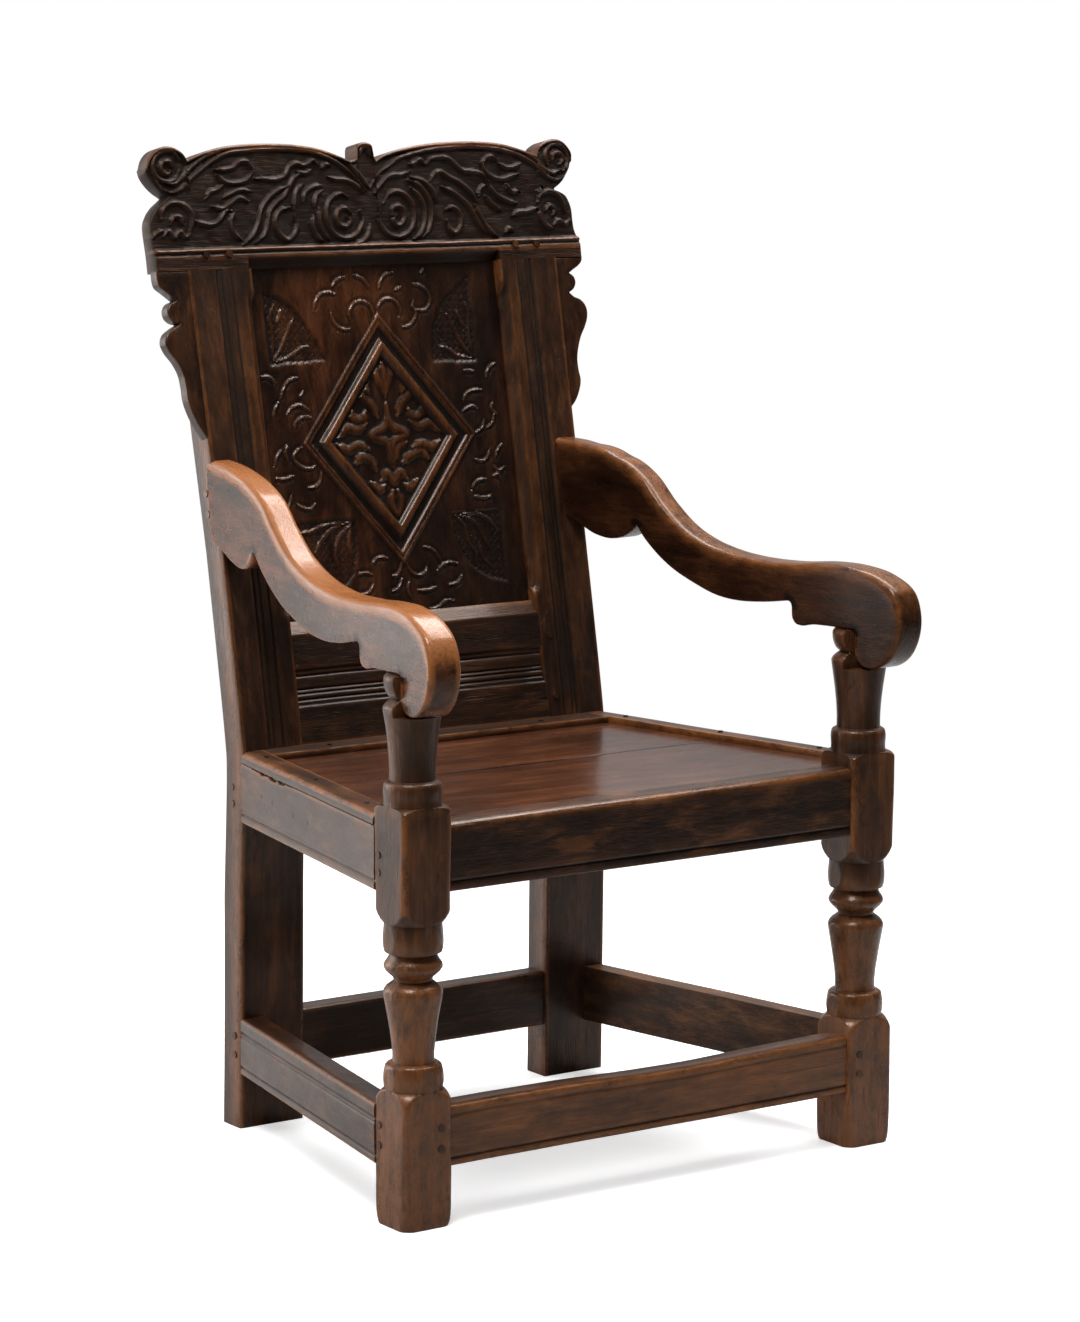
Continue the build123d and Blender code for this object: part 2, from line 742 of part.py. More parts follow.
# ---------------------------------------------------------------- arms
def arm_outline():
    """Side view of an arm: swept top, round nose hanging in front of the leg, and an
    underside with a square bearing block, a long sweep, a notch and a lobe at the stile."""
    notch = arm_run - arm_notch_back
    root = arm_rise - arm_notch_drop
    end = arm_run + tenon_length
    belly = (arm_heel + notch) * 0.4
    heel_start = arm_heel - 13.0
    top = Spline(
        (end, arm_rise + 2.0),
        (arm_run - 73.0, arm_rise - 6.0),
        (arm_run - 123.0, arm_rise - 20.0),
        (arm_run - 153.0, arm_rise - 35.0),
        (arm_run - 223.0, arm_rise - 85.0),
        (arm_run * 0.4, arm_waist + 3.0),
        (arm_run * 0.2, arm_waist),
        (0, arm_waist + 2.0),
        (-arm_nose * 0.55, arm_waist - 10.0),
        (-arm_nose * 0.9, arm_waist * 0.5),
        (-arm_nose, arm_waist * 0.15),
        (-arm_nose * 0.94, -arm_nose_drop * 0.25),
        (-arm_nose * 0.74, -arm_nose_drop * 0.74),
        (-arm_nose * 0.5, -arm_nose_drop),
        (arm_lobe_back - 11.0, -arm_nose_drop * 0.84),
        (arm_lobe_back, -arm_nose_drop * 0.45),
        tangents=((-1, -0.05), (0, 1)),
    )
    under = Polyline(
        (arm_lobe_back, -arm_nose_drop * 0.45),
        (arm_lobe_back, 0),
        (collar_radius + 2.0, 0),
        (heel_start, -3.0),
    )
    heel = ThreePointArc((heel_start, -3.0), (arm_heel - 4.0, 1.0), (arm_heel, arm_belly - 2.0))
    step = Line((arm_heel, arm_belly - 2.0), (arm_heel, arm_belly * 2))
    sweep = Spline(
        (arm_heel, arm_belly * 2),
        (belly, arm_belly),
        (notch - 112.0, arm_belly * 2),
        (notch - 73.0, root - 50.0),
        (notch - 35.0, root - 29.0),
        (notch, root),
    )
    lobe = Spline(
        (notch, root),
        (notch + 15.0, root - 18.0),
        (notch + 34.0, root - 23.0),
        (notch + 92.0, root - 6.0),
        (end, root + 16.0),
    )
    return outlined([top, under, heel, step, sweep, lobe, Line((end, root + 16.0), (end, arm_rise + 2.0))])


def arm():
    """The right-hand arm, tapered on its inner face towards the stile."""
    half = arm_thickness / 2
    body = extrude(arm_plane * Pos(0, 0, -half) * arm_outline(), arm_thickness)
    far = arm_run + 2 * tenon_length
    wedge = make_face(Polyline((0, half), (far, half), (far, half - arm_taper), close=True).edges())
    below = arm_plane * Rot(-90, 0, 0) * Pos(0, 0, -arm_rear_height) * wedge
    body -= extrude(below, 2 * arm_rear_height, dir=(0, 0, 1))
    body = first_in_depth(body - stile_body) + arm_tenon() - arm_pin(mortise_gap, mortise_end_gap)
    return drilled(body, arm_peg_places())


# ---------------------------------------------------------------- panelled back
def cut_along_back(profile):
    """A long cut between the stiles; its profile is given as height out of the face and
    place up the slope."""
    face = make_face(Polyline(*profile, close=True).edges())
    at_side = back_plane * Pos(-stile_inner, 0, 0) * Rot(0, -90, 0) * face
    return extrude(at_side, 2 * stile_inner, dir=(1, 0, 0))


def lower_back_rail():
    """Rail under the panel, with a sloping sill and scratched beads."""
    rail = leaning((-stile_inner, stile_inner), lower_rail_s, (0, lower_rail_thickness))
    top = lower_rail_s[1]
    rail = rail + lower_rail_tenons() - panel_groove()
    rail -= cut_along_back([(0.0, lower_rail_top), (-panel_recess, top), (2.0, top + 2.0)])
    for s in rail_beads:
        rail -= leaning((-stile_inner, stile_inner), centred((s, s), bead_width), (-1.0, bead_depth))
    return drilled(rail, all_places(back_frame_peg_places()))


def lozenge(width, height):
    """A raised diamond on the face of the panel."""
    corners = [(width / 2, 0), (0, height / 2), (-width / 2, 0), (0, -height / 2)]
    face = make_face(Polyline(*corners, close=True).edges())
    middle = (lower_rail_s[1] + back_length) / 2
    return extrude(back_plane * Pos(0, middle, -panel_recess) * face, lozenge_relief)


def back_panel():
    """Thin panel in the grooves of the frame, with a raised diamond border."""
    x, s = panel_span()
    inner = 1 - 2 * lozenge_border / lozenge_width
    border = lozenge(lozenge_width, lozenge_height) - lozenge(lozenge_width * inner, lozenge_height * inner)
    return leaning(x, s, (panel_recess, panel_recess + panel_thickness)) + border


def crest_side(bulge, shift, bud_edge):
    """Right half of the crest rail: square foot, rounded end, scrolled ear, lunette and
    half of the middle bud."""
    foot = back_length
    top = back_length + crest_height
    ear = crest_half - ear_radius - shift
    side = crest_half - bulge
    return outlined([
        Polyline((0, top), (0, foot), (crest_half, foot), (crest_half, foot + crest_foot)),
        Spline(
            (crest_half, foot + crest_foot),
            (side, foot + 36.0),
            (side, foot + 56.0),
            (side - 8.0, foot + 75.0),
            (ear - 2.0, foot + 84.0),
            tangents=((0, 1), (-1, 0.2)),
        ),
        Spline(
            (ear - 2.0, foot + 84.0),
            (ear + ear_radius * 0.7, foot + 102.0),
            (ear + ear_radius, foot + 121.0),
            (ear + ear_radius * 0.7, top - 7.0),
            (ear, top),
            (ear - ear_radius * 0.65, top - 4.0),
            (ear - ear_radius * 1.2, foot + 129.0),
            tangents=((1, 0.3), (-1, -1.6)),
        ),
        Spline(
            (ear - ear_radius * 1.2, foot + 129.0),
            (crest_half * 0.67, top - 4.0),
            (crest_half * 0.45, top),
            (crest_half * 0.2, top - 6.0),
            (bud_edge, foot + 124.0),
            tangents=((-1, 0.9), (-1, -0.9)),
        ),
        Line((bud_edge, foot + 124.0), (bud_edge - 2.0, top - 6.0)),
        ThreePointArc((bud_edge - 2.0, top - 6.0), (bud_edge - 4.0, top - 2.0), (bud_edge - 8.0, top)),
        Line((bud_edge - 8.0, top), (0, top)),
    ])


def crest_rail():
    """Shaped top rail that sits on the stiles and overhangs them with its ears."""
    right = crest_side(crest_bulge[0], ear_shift[0], bud_width / 2 + bud_offset)
    left = crest_side(crest_bulge[1], ear_shift[1], bud_width / 2 - bud_offset)
    face = right + mirror(left, about=Plane.YZ)
    crest = extrude(back_plane * Pos(0, 0, -crest_thickness) * face, crest_thickness)
    foot = back_length - 1.0
    crest -= cut_along_back([(1.0, foot), (1.0, back_length + soffit_chamfer), (-soffit_chamfer, foot)])
    crest = crest - panel_groove() - both_sides(crest_tenon(mortise_gap, mortise_end_gap))
    return drilled(crest, all_places(back_frame_peg_places()))


def bracket(length, cove):
    """Bracket under the right-hand ear: a quarter-round, a small lobe, a large lobe and a
    tail that dies into the stile."""
    out = crest_overhang
    lobe_foot = -cove - 25.0
    outline = outlined([
        Polyline((0, -length), (0, 0), (out, 0)),
        Spline((out, 0), (out - 5.0, -cove * 0.55), (out - 21.0, -cove), tangents=((0, -1), (-2, -1))),
        ThreePointArc((out - 21.0, -cove), (out - 11.0, -cove - 12.0), (out - 23.0, lobe_foot)),
        Spline(
            (out - 23.0, lobe_foot),
            (out - 5.0, lobe_foot - 12.0),
            (out - 1.0, lobe_foot - 27.0),
            (out - 6.0, lobe_foot - 41.0),
            (out - 18.0, lobe_foot - 62.0),
            (out - 22.0, lobe_foot - 88.0),
            (out - 22.0, -length + 36.0),
            (out - 26.0, -length + 22.0),
            (0, -length),
            tangents=((1, -0.5), (-1, -1)),
        ),
    ])
    depth = bracket_setback + bracket_thickness
    blank = extrude(back_plane * Pos(stile_outer, back_length, -depth) * outline, bracket_thickness)
    return drilled(blank, bracket_nail_places(), nail_hole)


# ---------------------------------------------------------------- write every sub-part
def group(shapes):
    """Identical fasteners as one group of separate solids."""
    return Compound(children=[solid for shape in shapes for solid in shape.solids()])


def main():
    os.makedirs("parts", exist_ok=True)
    twins = {
        "front_leg": front_leg(),
        "rear_stile": rear_stile(),
        "side_seat_rail": side_seat_rail(),
        "side_stretcher": side_stretcher(),
        "seat_edging": seat_edging_side(),
        "arm": arm(),
    }
    for name, shape in twins.items():
        save(f"{name}_right", shape)
        save(f"{name}_left", other_side(shape))
    save("ear_bracket_right", bracket(bracket_length[0], bracket_cove[0]))
    save("ear_bracket_left", other_side(bracket(bracket_length[1], bracket_cove[1])))

    save("front_seat_rail", front_seat_rail())
    save("front_stretcher", front_stretcher())
    save("back_seat_rail", back_seat_rail())
    save("back_stretcher", back_stretcher())
    save("seat_board_front", seat_board_front())
    save("seat_board_rear", seat_board_rear())
    save("seat_edging_back", seat_edging_back())
    save("lower_back_rail", lower_back_rail())
    save("back_panel", back_panel())
    save("crest_rail", crest_rail())

    save("leg_pegs", group(map(peg, all_places(leg_peg_places()))))
    save("stile_pegs", group(map(peg, all_places(stile_peg_places()))))
    save("arm_pegs", group(map(peg, all_places(arm_peg_places()))))
    save("back_frame_pegs", group(map(peg, all_places(back_frame_peg_places()))))
    save("bracket_nails", group(map(nail, all_places(bracket_nail_places()))))
    save("edging_nails", group(map(nail, all_places(edging_nail_places()) + back_edging_nail_places())))
    save("seat_nails", group(map(nail, all_places(seat_nail_places()))))


main()
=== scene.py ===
import math

import bpy
import numpy as np
from bpy.props import FloatProperty, FloatVectorProperty, PointerProperty
from mathutils import Matrix, Vector


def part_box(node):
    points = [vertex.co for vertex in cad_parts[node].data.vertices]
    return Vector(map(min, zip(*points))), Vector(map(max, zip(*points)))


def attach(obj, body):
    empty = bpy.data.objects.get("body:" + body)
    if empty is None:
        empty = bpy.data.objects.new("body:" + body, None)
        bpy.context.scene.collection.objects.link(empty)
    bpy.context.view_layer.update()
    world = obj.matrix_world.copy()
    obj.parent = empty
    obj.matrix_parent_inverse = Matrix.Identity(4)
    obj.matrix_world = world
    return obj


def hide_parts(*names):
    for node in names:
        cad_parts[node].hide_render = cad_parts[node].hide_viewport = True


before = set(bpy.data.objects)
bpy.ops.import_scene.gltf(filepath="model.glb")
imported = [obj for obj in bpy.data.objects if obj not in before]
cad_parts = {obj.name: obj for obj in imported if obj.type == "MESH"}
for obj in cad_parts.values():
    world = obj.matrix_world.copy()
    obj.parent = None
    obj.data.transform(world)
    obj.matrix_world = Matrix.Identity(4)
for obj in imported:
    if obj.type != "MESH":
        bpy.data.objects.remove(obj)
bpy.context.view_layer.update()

bl_info = {
    "name": "Panel-back armchair",
    "version": (1, 0, 0),
    "blender": (4, 5, 0),
    "location": "View3D > Sidebar > Chair",
    "description": "Dresses the joined oak armchair: carved back, worn oak, pegs and nails",
    "category": "Object",
}

# ---------------------------------------------------------------- places, in millimetres
# +Z is up, -Y is the way the chair faces and +X is to the right of a front view.


def node_box(name):
    """Lowest and highest corner of a CAD node, in millimetres."""
    low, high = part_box(name)
    return np.array(low) * 1000.0, np.array(high) * 1000.0


# The front legs: the middle of the right one's post, half its side and its rear face.
LEG_LOW, LEG_HIGH = node_box("front_leg_right")
LEG_X = (LEG_LOW[0] + LEG_HIGH[0]) / 2
LEG_Y = (LEG_LOW[1] + LEG_HIGH[1]) / 2
LEG_HALF = (LEG_HIGH[0] - LEG_LOW[0]) / 2
LEG_BACK = LEG_Y + LEG_HALF

# The rear stiles and the leaning back, which bends out of the plumb at the knee. Lengths of the
# back are measured up its slope from there, and the feet stand out behind by the kick.
STILE_IN = float(node_box("rear_stile_right")[0][0])
STILE_OUT = float(node_box("rear_stile_right")[1][0])
STILE_THICK = 38.0
KNEE_Y = float(node_box("back_seat_rail")[0][1])
KNEE_Z = 430.0
FOOT_KICK = 6.0
RAKE = math.radians(11.0)
BACK_LENGTH = 572.0
CREST_HEIGHT = 145.0
CREST_THICK = 30.0
CREST_HALF = 299.0
PANEL_RECESS = 13.0

# The seat: the foot of its front rail, the line scratched along it, the strips and the splay.
RAIL_LOW = 363.0
RAIL_SCRATCH = 373.5
STRIP_WIDTH = 30.0
SEAT_TOP = float(node_box("seat_board_front")[1][2])
SPLAY = (LEG_X + LEG_HALF - STILE_OUT) / (KNEE_Y - LEG_BACK)

# The arms: half their thickness at the front, how much of it goes towards the stile, and their
# run and splay.
ARM_HALF = 19.0
ARM_TAPER = 7.0
ARM_RUN = 501.0
ARM_SPLAY = 0.1253


def back_point(x, s, depth):
    """Point in the leaning plane of the back: x across, s up the slope from the knee, and
    depth behind its face."""
    y = KNEE_Y + s * math.sin(RAKE) + depth * math.cos(RAKE)
    z = KNEE_Z + s * math.cos(RAKE) - depth * math.sin(RAKE)
    return np.stack(np.broadcast_arrays(x, y, z), axis=-1)


def side_point(along, inset, z):
    """Point on the splayed right side: along is its place in depth, inset is measured square
    to the outer face."""
    stretch = math.sqrt(1 + SPLAY**2)
    x = LEG_X + LEG_HALF - (along - LEG_BACK) * SPLAY - inset / stretch
    y = along - inset * SPLAY / stretch
    return np.stack(np.broadcast_arrays(x, y, z), axis=-1)


def arm_point(along, z, out):
    """Point of the right-hand arm: along it from the leg's axis, height, and outwards."""
    stretch = math.sqrt(1 + ARM_SPLAY**2)
    x = LEG_X + (out - along * ARM_SPLAY) / stretch
    y = LEG_Y + (along + out * ARM_SPLAY) / stretch
    return np.stack(np.broadcast_arrays(x, y, z), axis=-1)


# ---------------------------------------------------------------- lines and fields
def smooth_line(points, step):
    """Points about step apart on a smooth line through the given ones: a cubic over the
    chord length whose slope at a point is that of the chord between its neighbours."""
    p = np.array(points, float)
    chord = np.concatenate([[0.0], np.cumsum(np.linalg.norm(np.diff(p, axis=0), axis=1))])
    slope = np.gradient(p, chord, axis=0)
    t = np.linspace(0, chord[-1], max(2, math.ceil(chord[-1] / step) + 1))
    i = np.clip(np.searchsorted(chord, t, side="right") - 1, 0, len(p) - 2)
    h = (chord[i + 1] - chord[i])[:, None]
    w = (t - chord[i])[:, None] / h
    start = (1 + 2 * w) * (1 - w) ** 2 * p[i] + w * (1 - w) ** 2 * h * slope[i]
    return start + w * w * (3 - 2 * w) * p[i + 1] + w * w * (w - 1) * h * slope[i + 1]


def closed_line(runs, step):
    """A closed outline of smooth runs that meet in corners."""
    return np.concatenate([smooth_line(run, step)[:-1] for run in runs])


def ease(x, low, high):
    """0 below low, 1 above high, and a smooth cubic step between."""
    t = np.clip((x - low) / (high - low), 0, 1)
    return t * t * (3 - 2 * t)


def ripple(points, size, seed):
    """A slow wave between about -1 and 1: the sum of five sines of the place, in turned
    directions and lengths round the given size."""
    turn = np.random.default_rng(seed)
    total = 0
    for octave in range(5):
        way = turn.normal(size=3)
        way /= np.linalg.norm(way)
        length = size * (0.6 + 0.35 * octave)
        total = total + np.sin(points @ way * (2 * math.pi / length) + turn.uniform(0, 6.28))
    return total / 2.6


def box_mean(field, reach_u, reach_v, outside):
    """Mean of a field over a window, with a given value beyond its rim."""
    for axis, reach in ((0, reach_u), (1, reach_v)):
        if reach < 1:
            continue
        pad = [(0, 0), (0, 0)]
        pad[axis] = (reach + 1, reach)
        if outside is None:
            padded = np.pad(field, pad, "edge")
        else:
            padded = np.pad(field, pad, constant_values=outside)
        total = np.cumsum(padded, axis=axis)
        count = 2 * reach + 1
        high = np.take(total, np.arange(count, total.shape[axis]), axis=axis)
        low = np.take(total, np.arange(0, total.shape[axis] - count), axis=axis)
        field = (high - low) / count
    return field


def arris(edge, radius):
    """Drop of a rounded arris at a distance from the edge: a quarter circle."""
    e = np.clip(edge, 0, radius)
    return radius - np.sqrt(np.maximum(radius**2 - (radius - e) ** 2, 0))


def groove(at, centre, width, depth):
    """A rounded scratch: the bell curve of the distance from its middle."""
    return depth * np.exp(-(((at - centre) / (width * 0.5)) ** 2))


# ---------------------------------------------------------------- meshes
def finish_mesh(name, points, quads, caps, wear, dirt, mirrored):
    """Put whole arrays into a closed mesh, turned so that its faces point outwards: the sign
    of the volume tells which way they lie."""
    points = np.array(points, float)
    if mirrored:
        points = points * (-1, 1, 1)
    a, b, c, d = (points[quads[:, k]] for k in range(4))
    volume = np.einsum("ij,ij->", a, np.cross(b, c)) + np.einsum("ij,ij->", a, np.cross(c, d))
    for cap in caps:
        rim = points[cap]
        volume += (np.cross(rim[1:-1], rim[2:]) @ rim[0]).sum()
    if volume < 0:
        quads = quads[:, ::-1]
        caps = [cap[::-1] for cap in caps]
    loops = np.concatenate([quads.ravel(), *caps]).astype(np.int32)
    sizes = np.array([4] * len(quads) + [len(cap) for cap in caps])
    mesh = bpy.data.meshes.new(name)
    mesh.vertices.add(len(points))
    mesh.vertices.foreach_set("co", (points * 0.001).astype(np.float32).ravel())
    mesh.loops.add(len(loops))
    mesh.loops.foreach_set("vertex_index", loops)
    mesh.polygons.add(len(sizes))
    mesh.polygons.foreach_set("loop_start", np.concatenate([[0], np.cumsum(sizes)[:-1]]).astype(np.int32))
    mesh.update(calc_edges=True)
    mesh.polygons.foreach_set("use_smooth", np.arange(len(sizes)) < len(quads))
    mesh.set_sharp_from_angle(angle=math.radians(38))
    # The two attributes carry wear and old wax, and on some pieces painted highlights, a painted reflection
    # of the floor and painted shade.
    for key, value in (("wear", wear), ("dirt", dirt)):
        data = mesh.attributes.new(key, "FLOAT", "POINT").data
        data.foreach_set("value", np.clip(value, 0, 1).astype(np.float32).ravel())
    if mesh.validate():
        raise RuntimeError(f"{name}: the mesh was not sound")
    return mesh


def ring_quads(rings, around):
    """Faces between closed rings of points that follow each other."""
    start = np.arange(rings - 1)[:, None] * around
    j = np.arange(around)
    after = (j + 1) % around
    corners = [start + j, start + after, start + around + after, start + around + j]
    return np.stack(corners, -1).reshape(-1, 4)


def add_piece(name, mesh, material, nodes):
    """Show a finished mesh in place of CAD nodes."""
    piece = bpy.data.objects.new(name, mesh)
    bpy.context.scene.collection.objects.link(piece)
    mesh.materials.append(material)
    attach(piece, "root")
    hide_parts(*nodes)
    return piece


def add_rings(name, rings, wear, dirt, material, nodes, mirrored=False):
    """A closed solid from rings of points (ring, around, 3), capped at both ends."""
    count, around = rings.shape[:2]
    caps = [np.arange(around), np.arange(around)[::-1] + (count - 1) * around]
    quads = ring_quads(count, around)[:, ::-1]
    points = rings.reshape(-1, 3)
    wear = np.broadcast_to(wear, (count, around)).ravel()
    dirt = np.broadcast_to(dirt, (count, around)).ravel()
    mesh = finish_mesh(name, points, quads, caps, wear, dirt, mirrored)
    return add_piece(name, mesh, material, nodes)


def add_member(
    name, across, along, face, thickness, place, material, nodes, mirrored=False, edge_wear=1.0, zones=None
):
    """A board or rail with a worked face: at each place along it runs a ring, over the face
    at the depth that face gives, down one edge, along the plain back and up the other. The
    back has one point for every three of the face. zones adds wear and dirt by place, on some
    pieces with painted highlights, a painted reflection and painted shade among them, and
    the thickness may be one for each ring."""
    u, v = np.meshgrid(across, along)
    depth = face(u, v)
    low, high = across[0], across[-1]
    side = np.linspace(0, 1, 5)[1:-1]
    back = across[::-3]
    deep = np.broadcast_to(np.reshape(thickness, (-1, 1)), (len(along), 1)).astype(float)
    near = depth[:, -1:] + (deep - depth[:, -1:]) * side
    far = depth[:, :1] + (deep - depth[:, :1]) * side[::-1]
    plain = np.broadcast_to(back, (len(along), len(back)))
    ring_u = np.concatenate([u, np.full_like(near, high), plain, np.full_like(far, low)], axis=1)
    ring_d = np.concatenate([depth, near, np.broadcast_to(deep, plain.shape), far], axis=1)
    ring_v = np.broadcast_to(np.asarray(along)[:, None], ring_u.shape)
    rings = place(ring_u, ring_v, ring_d)
    flat = np.linalg.norm(np.diff(rings[len(along) // 2], axis=0), axis=1)
    step_u = flat[: len(across) - 1].mean()
    step_v = np.linalg.norm(np.diff(rings[:, len(across) // 2], axis=0), axis=1).mean()
    mean = box_mean(depth, round(6.0 / step_v), 0, None)
    mean = box_mean(mean, 0, max(1, round(5.0 / step_u)), depth.max() + 4.0)
    proud = mean - depth
    zero = np.zeros((len(along), 1))
    fade = np.linspace(1, 0, len(side))
    worn_and_highlit = np.clip(proud * 0.55, 0, 1) * edge_wear
    dirt = np.clip(-proud * 0.9, 0, 1)
    # Besides real wear and old wax, the zones of some pieces add painted highlights, a painted reflection
    # of the floor and painted shade.
    if zones is not None:
        more_worn_and_highlit, more_wax_and_shade = zones(u, v)
        worn_and_highlit = np.clip(worn_and_highlit + more_worn_and_highlit, 0, 1)
        dirt = np.clip(dirt + more_wax_and_shade, 0, 1)
    rest = [worn_and_highlit[:, -1:] * fade, zero.repeat(len(back), 1), worn_and_highlit[:, :1] * fade[::-1]]
    wear = np.concatenate([worn_and_highlit, *rest], axis=1)
    dirt = np.concatenate([dirt, zero.repeat(2 * len(side) + len(back), 1)], axis=1)
    above = np.clip(rings[..., 2:] / 60.0, 0, 1)
    rings = rings + ripple(rings, 180.0, len(name))[..., None] * np.array([0.25, 0.25, 0.2]) * above

    count, around = rings.shape[:2]
    n, k, m = len(across), len(side), len(back)
    cap = []
    for i in range(m - 1):
        back_at = n + k + m - 1 - i
        cap.append([*range(3 * i, 3 * i + 4), back_at - 1, back_at])
    cap[0] = cap[0] + list(range(n + k + m, around))
    cap[-1] = cap[-1][:-2] + list(range(n, n + k)) + cap[-1][-2:]
    caps = [np.array(corners) for corners in cap]
    caps += [np.array(corners)[::-1] + (count - 1) * around for corners in cap]
    quads = ring_quads(count, around)[:, ::-1]
    mesh = finish_mesh(name, rings.reshape(-1, 3), quads, caps, wear.ravel(), dirt.ravel(), mirrored)
    return add_piece(name, mesh, material, nodes)


def inset_line(line, inward, size):
    """An outline moved inwards along its normals. Where the moved line would cross itself,
    the points that come too near the outline give way to the straight between the rest."""
    moved = line + inward * size[:, None]
    gap = np.sqrt(((moved[:, None] - line[None]) ** 2).sum(-1)).min(1)
    good = np.flatnonzero(gap > size * 0.94 - 1e-6)
    count = len(line)
    index = np.concatenate([good - count, good, good + count])
    return np.stack([np.interp(np.arange(count), index, np.tile(moved[good, k], 3)) for k in (0, 1)], -1)


def add_plate(
    name, line, radius, faces, place, material, nodes, mirrored=False, top_wear=0.0, edge_wear=1.0
):
    """A sawn shape with rounded arrises: rings of its outline, moved inwards along its
    normals by radius times one less the sine of the turn, and in from each face by radius
    times one less its cosine. faces gives where both faces lie along the shape. top_wear
    bares the upper edge and a band of both faces under it, and keeps the lower edge dark."""
    ahead = np.roll(line, -1, 0) - np.roll(line, 1, 0)
    ahead /= np.linalg.norm(ahead, axis=1)[:, None] + 1e-9
    area = np.sum(line[:, 0] * np.roll(line[:, 1], -1) - np.roll(line[:, 0], -1) * line[:, 1])
    inward = np.stack([-ahead[:, 1], ahead[:, 0]], -1) * np.sign(area)
    size = radius(inward)
    top = top_wear * np.clip(-inward[:, 1] * 1.5, 0, 1)
    under = np.clip(inward[:, 1], 0, 1) if top_wear > 0 else 0.0
    bend = line - (np.roll(line, 3, 0) + np.roll(line, -3, 0)) / 2
    proud = -np.sum(bend * inward, axis=1)
    front, back = faces(line[:, 0])
    turns = np.radians([0, 20, 42, 64, 90])
    near = [(inset_line(line, inward, size + 4.5), 0 * size, 0.5 * top)]
    if top_wear > 0:
        near.insert(0, (inset_line(line, inward, size + 9.5), 0 * size, 0 * size))
    for turn in turns:
        edge = inset_line(line, inward, size * (1 - math.sin(turn)))
        arc = math.sin(math.pi * (0.2 + 0.6 * turn / (math.pi / 2)))
        worn_and_highlit = edge_wear * (0.8 * arc + np.clip(proud * 0.3, 0, 0.5)) * (1 - 0.75 * under)
        near.append((edge, size * (1 - math.cos(turn)), np.maximum(worn_and_highlit, top)))
    rings, wear = [], []
    for edge, drop, worn_and_highlit in near:
        rings.append(place(edge[:, 0], edge[:, 1], front - drop))
        wear.append(worn_and_highlit)
    for share in (0.15, 0.4, 0.6, 0.85):
        out = (front - size) * (1 - share) + (back + size) * share
        rings.append(place(line[:, 0], line[:, 1], out))
        wear.append(top)
    for edge, drop, worn_and_highlit in near[::-1]:
        rings.append(place(edge[:, 0], edge[:, 1], back + drop))
        wear.append(worn_and_highlit)
    rings = np.array(rings)
    dirt = np.broadcast_to(np.clip(-proud * 0.8, 0, 1), rings.shape[:2]).copy()
    dirt[[0, -1]] = 0
    rings = rings + ripple(rings, 120.0, len(name))[..., None] * np.array([0.06, 0.35, 0.35])
    return add_rings(name, rings, np.array(wear), dirt, material, nodes, mirrored)


# ---------------------------------------------------------------- oak
class NodeSheet:
    """Short calls that add nodes to a material or the world."""

    def __init__(self, owner):
        owner.use_nodes = True
        self.tree = owner.node_tree
        self.tree.nodes.clear()

    def add(self, kind, inputs=None, **settings):
        node = self.tree.nodes.new(kind)
        for key, value in settings.items():
            setattr(node, key, value)
        for key, value in (inputs or {}).items():
            if isinstance(value, bpy.types.NodeSocket):
                self.tree.links.new(value, node.inputs[key])
            else:
                node.inputs[key].default_value = value
        return node

    def math(self, operation, *values, clamp=False):
        node = self.add("ShaderNodeMath", dict(enumerate(values)), operation=operation, use_clamp=clamp)
        return node.outputs[0]

    def plus(self, first, second):
        return self.math("ADD", first, second)

    def minus(self, first, second, clamp=False):
        return self.math("SUBTRACT", first, second, clamp=clamp)

    def times(self, first, second, clamp=False):
        return self.math("MULTIPLY", first, second, clamp=clamp)

    def mix(self, share, first, second):
        node = self.add("ShaderNodeMix", {0: share, 6: first, 7: second}, data_type="RGBA")
        return node.outputs[2]

    def ramp(self, share, stops):
        node = self.add("ShaderNodeValToRGB", {0: share})
        points = node.color_ramp.elements
        while len(points) < len(stops):
            points.new(0.5)
        for point, (place, colour) in zip(points, stops):
            point.position = place
            point.color = (*colour, 1)
        return node.outputs[0]

    def spread(self, value, low, high):
        """A value stretched so that low becomes 0 and high becomes 1."""
        node = self.add("ShaderNodeMapRange", {0: value, 1: low, 2: high})
        return node.outputs[0]


PORE_DEPTH = 0.0006
SHELLAC_TINT = (1.0, 0.76, 0.63, 1.0)


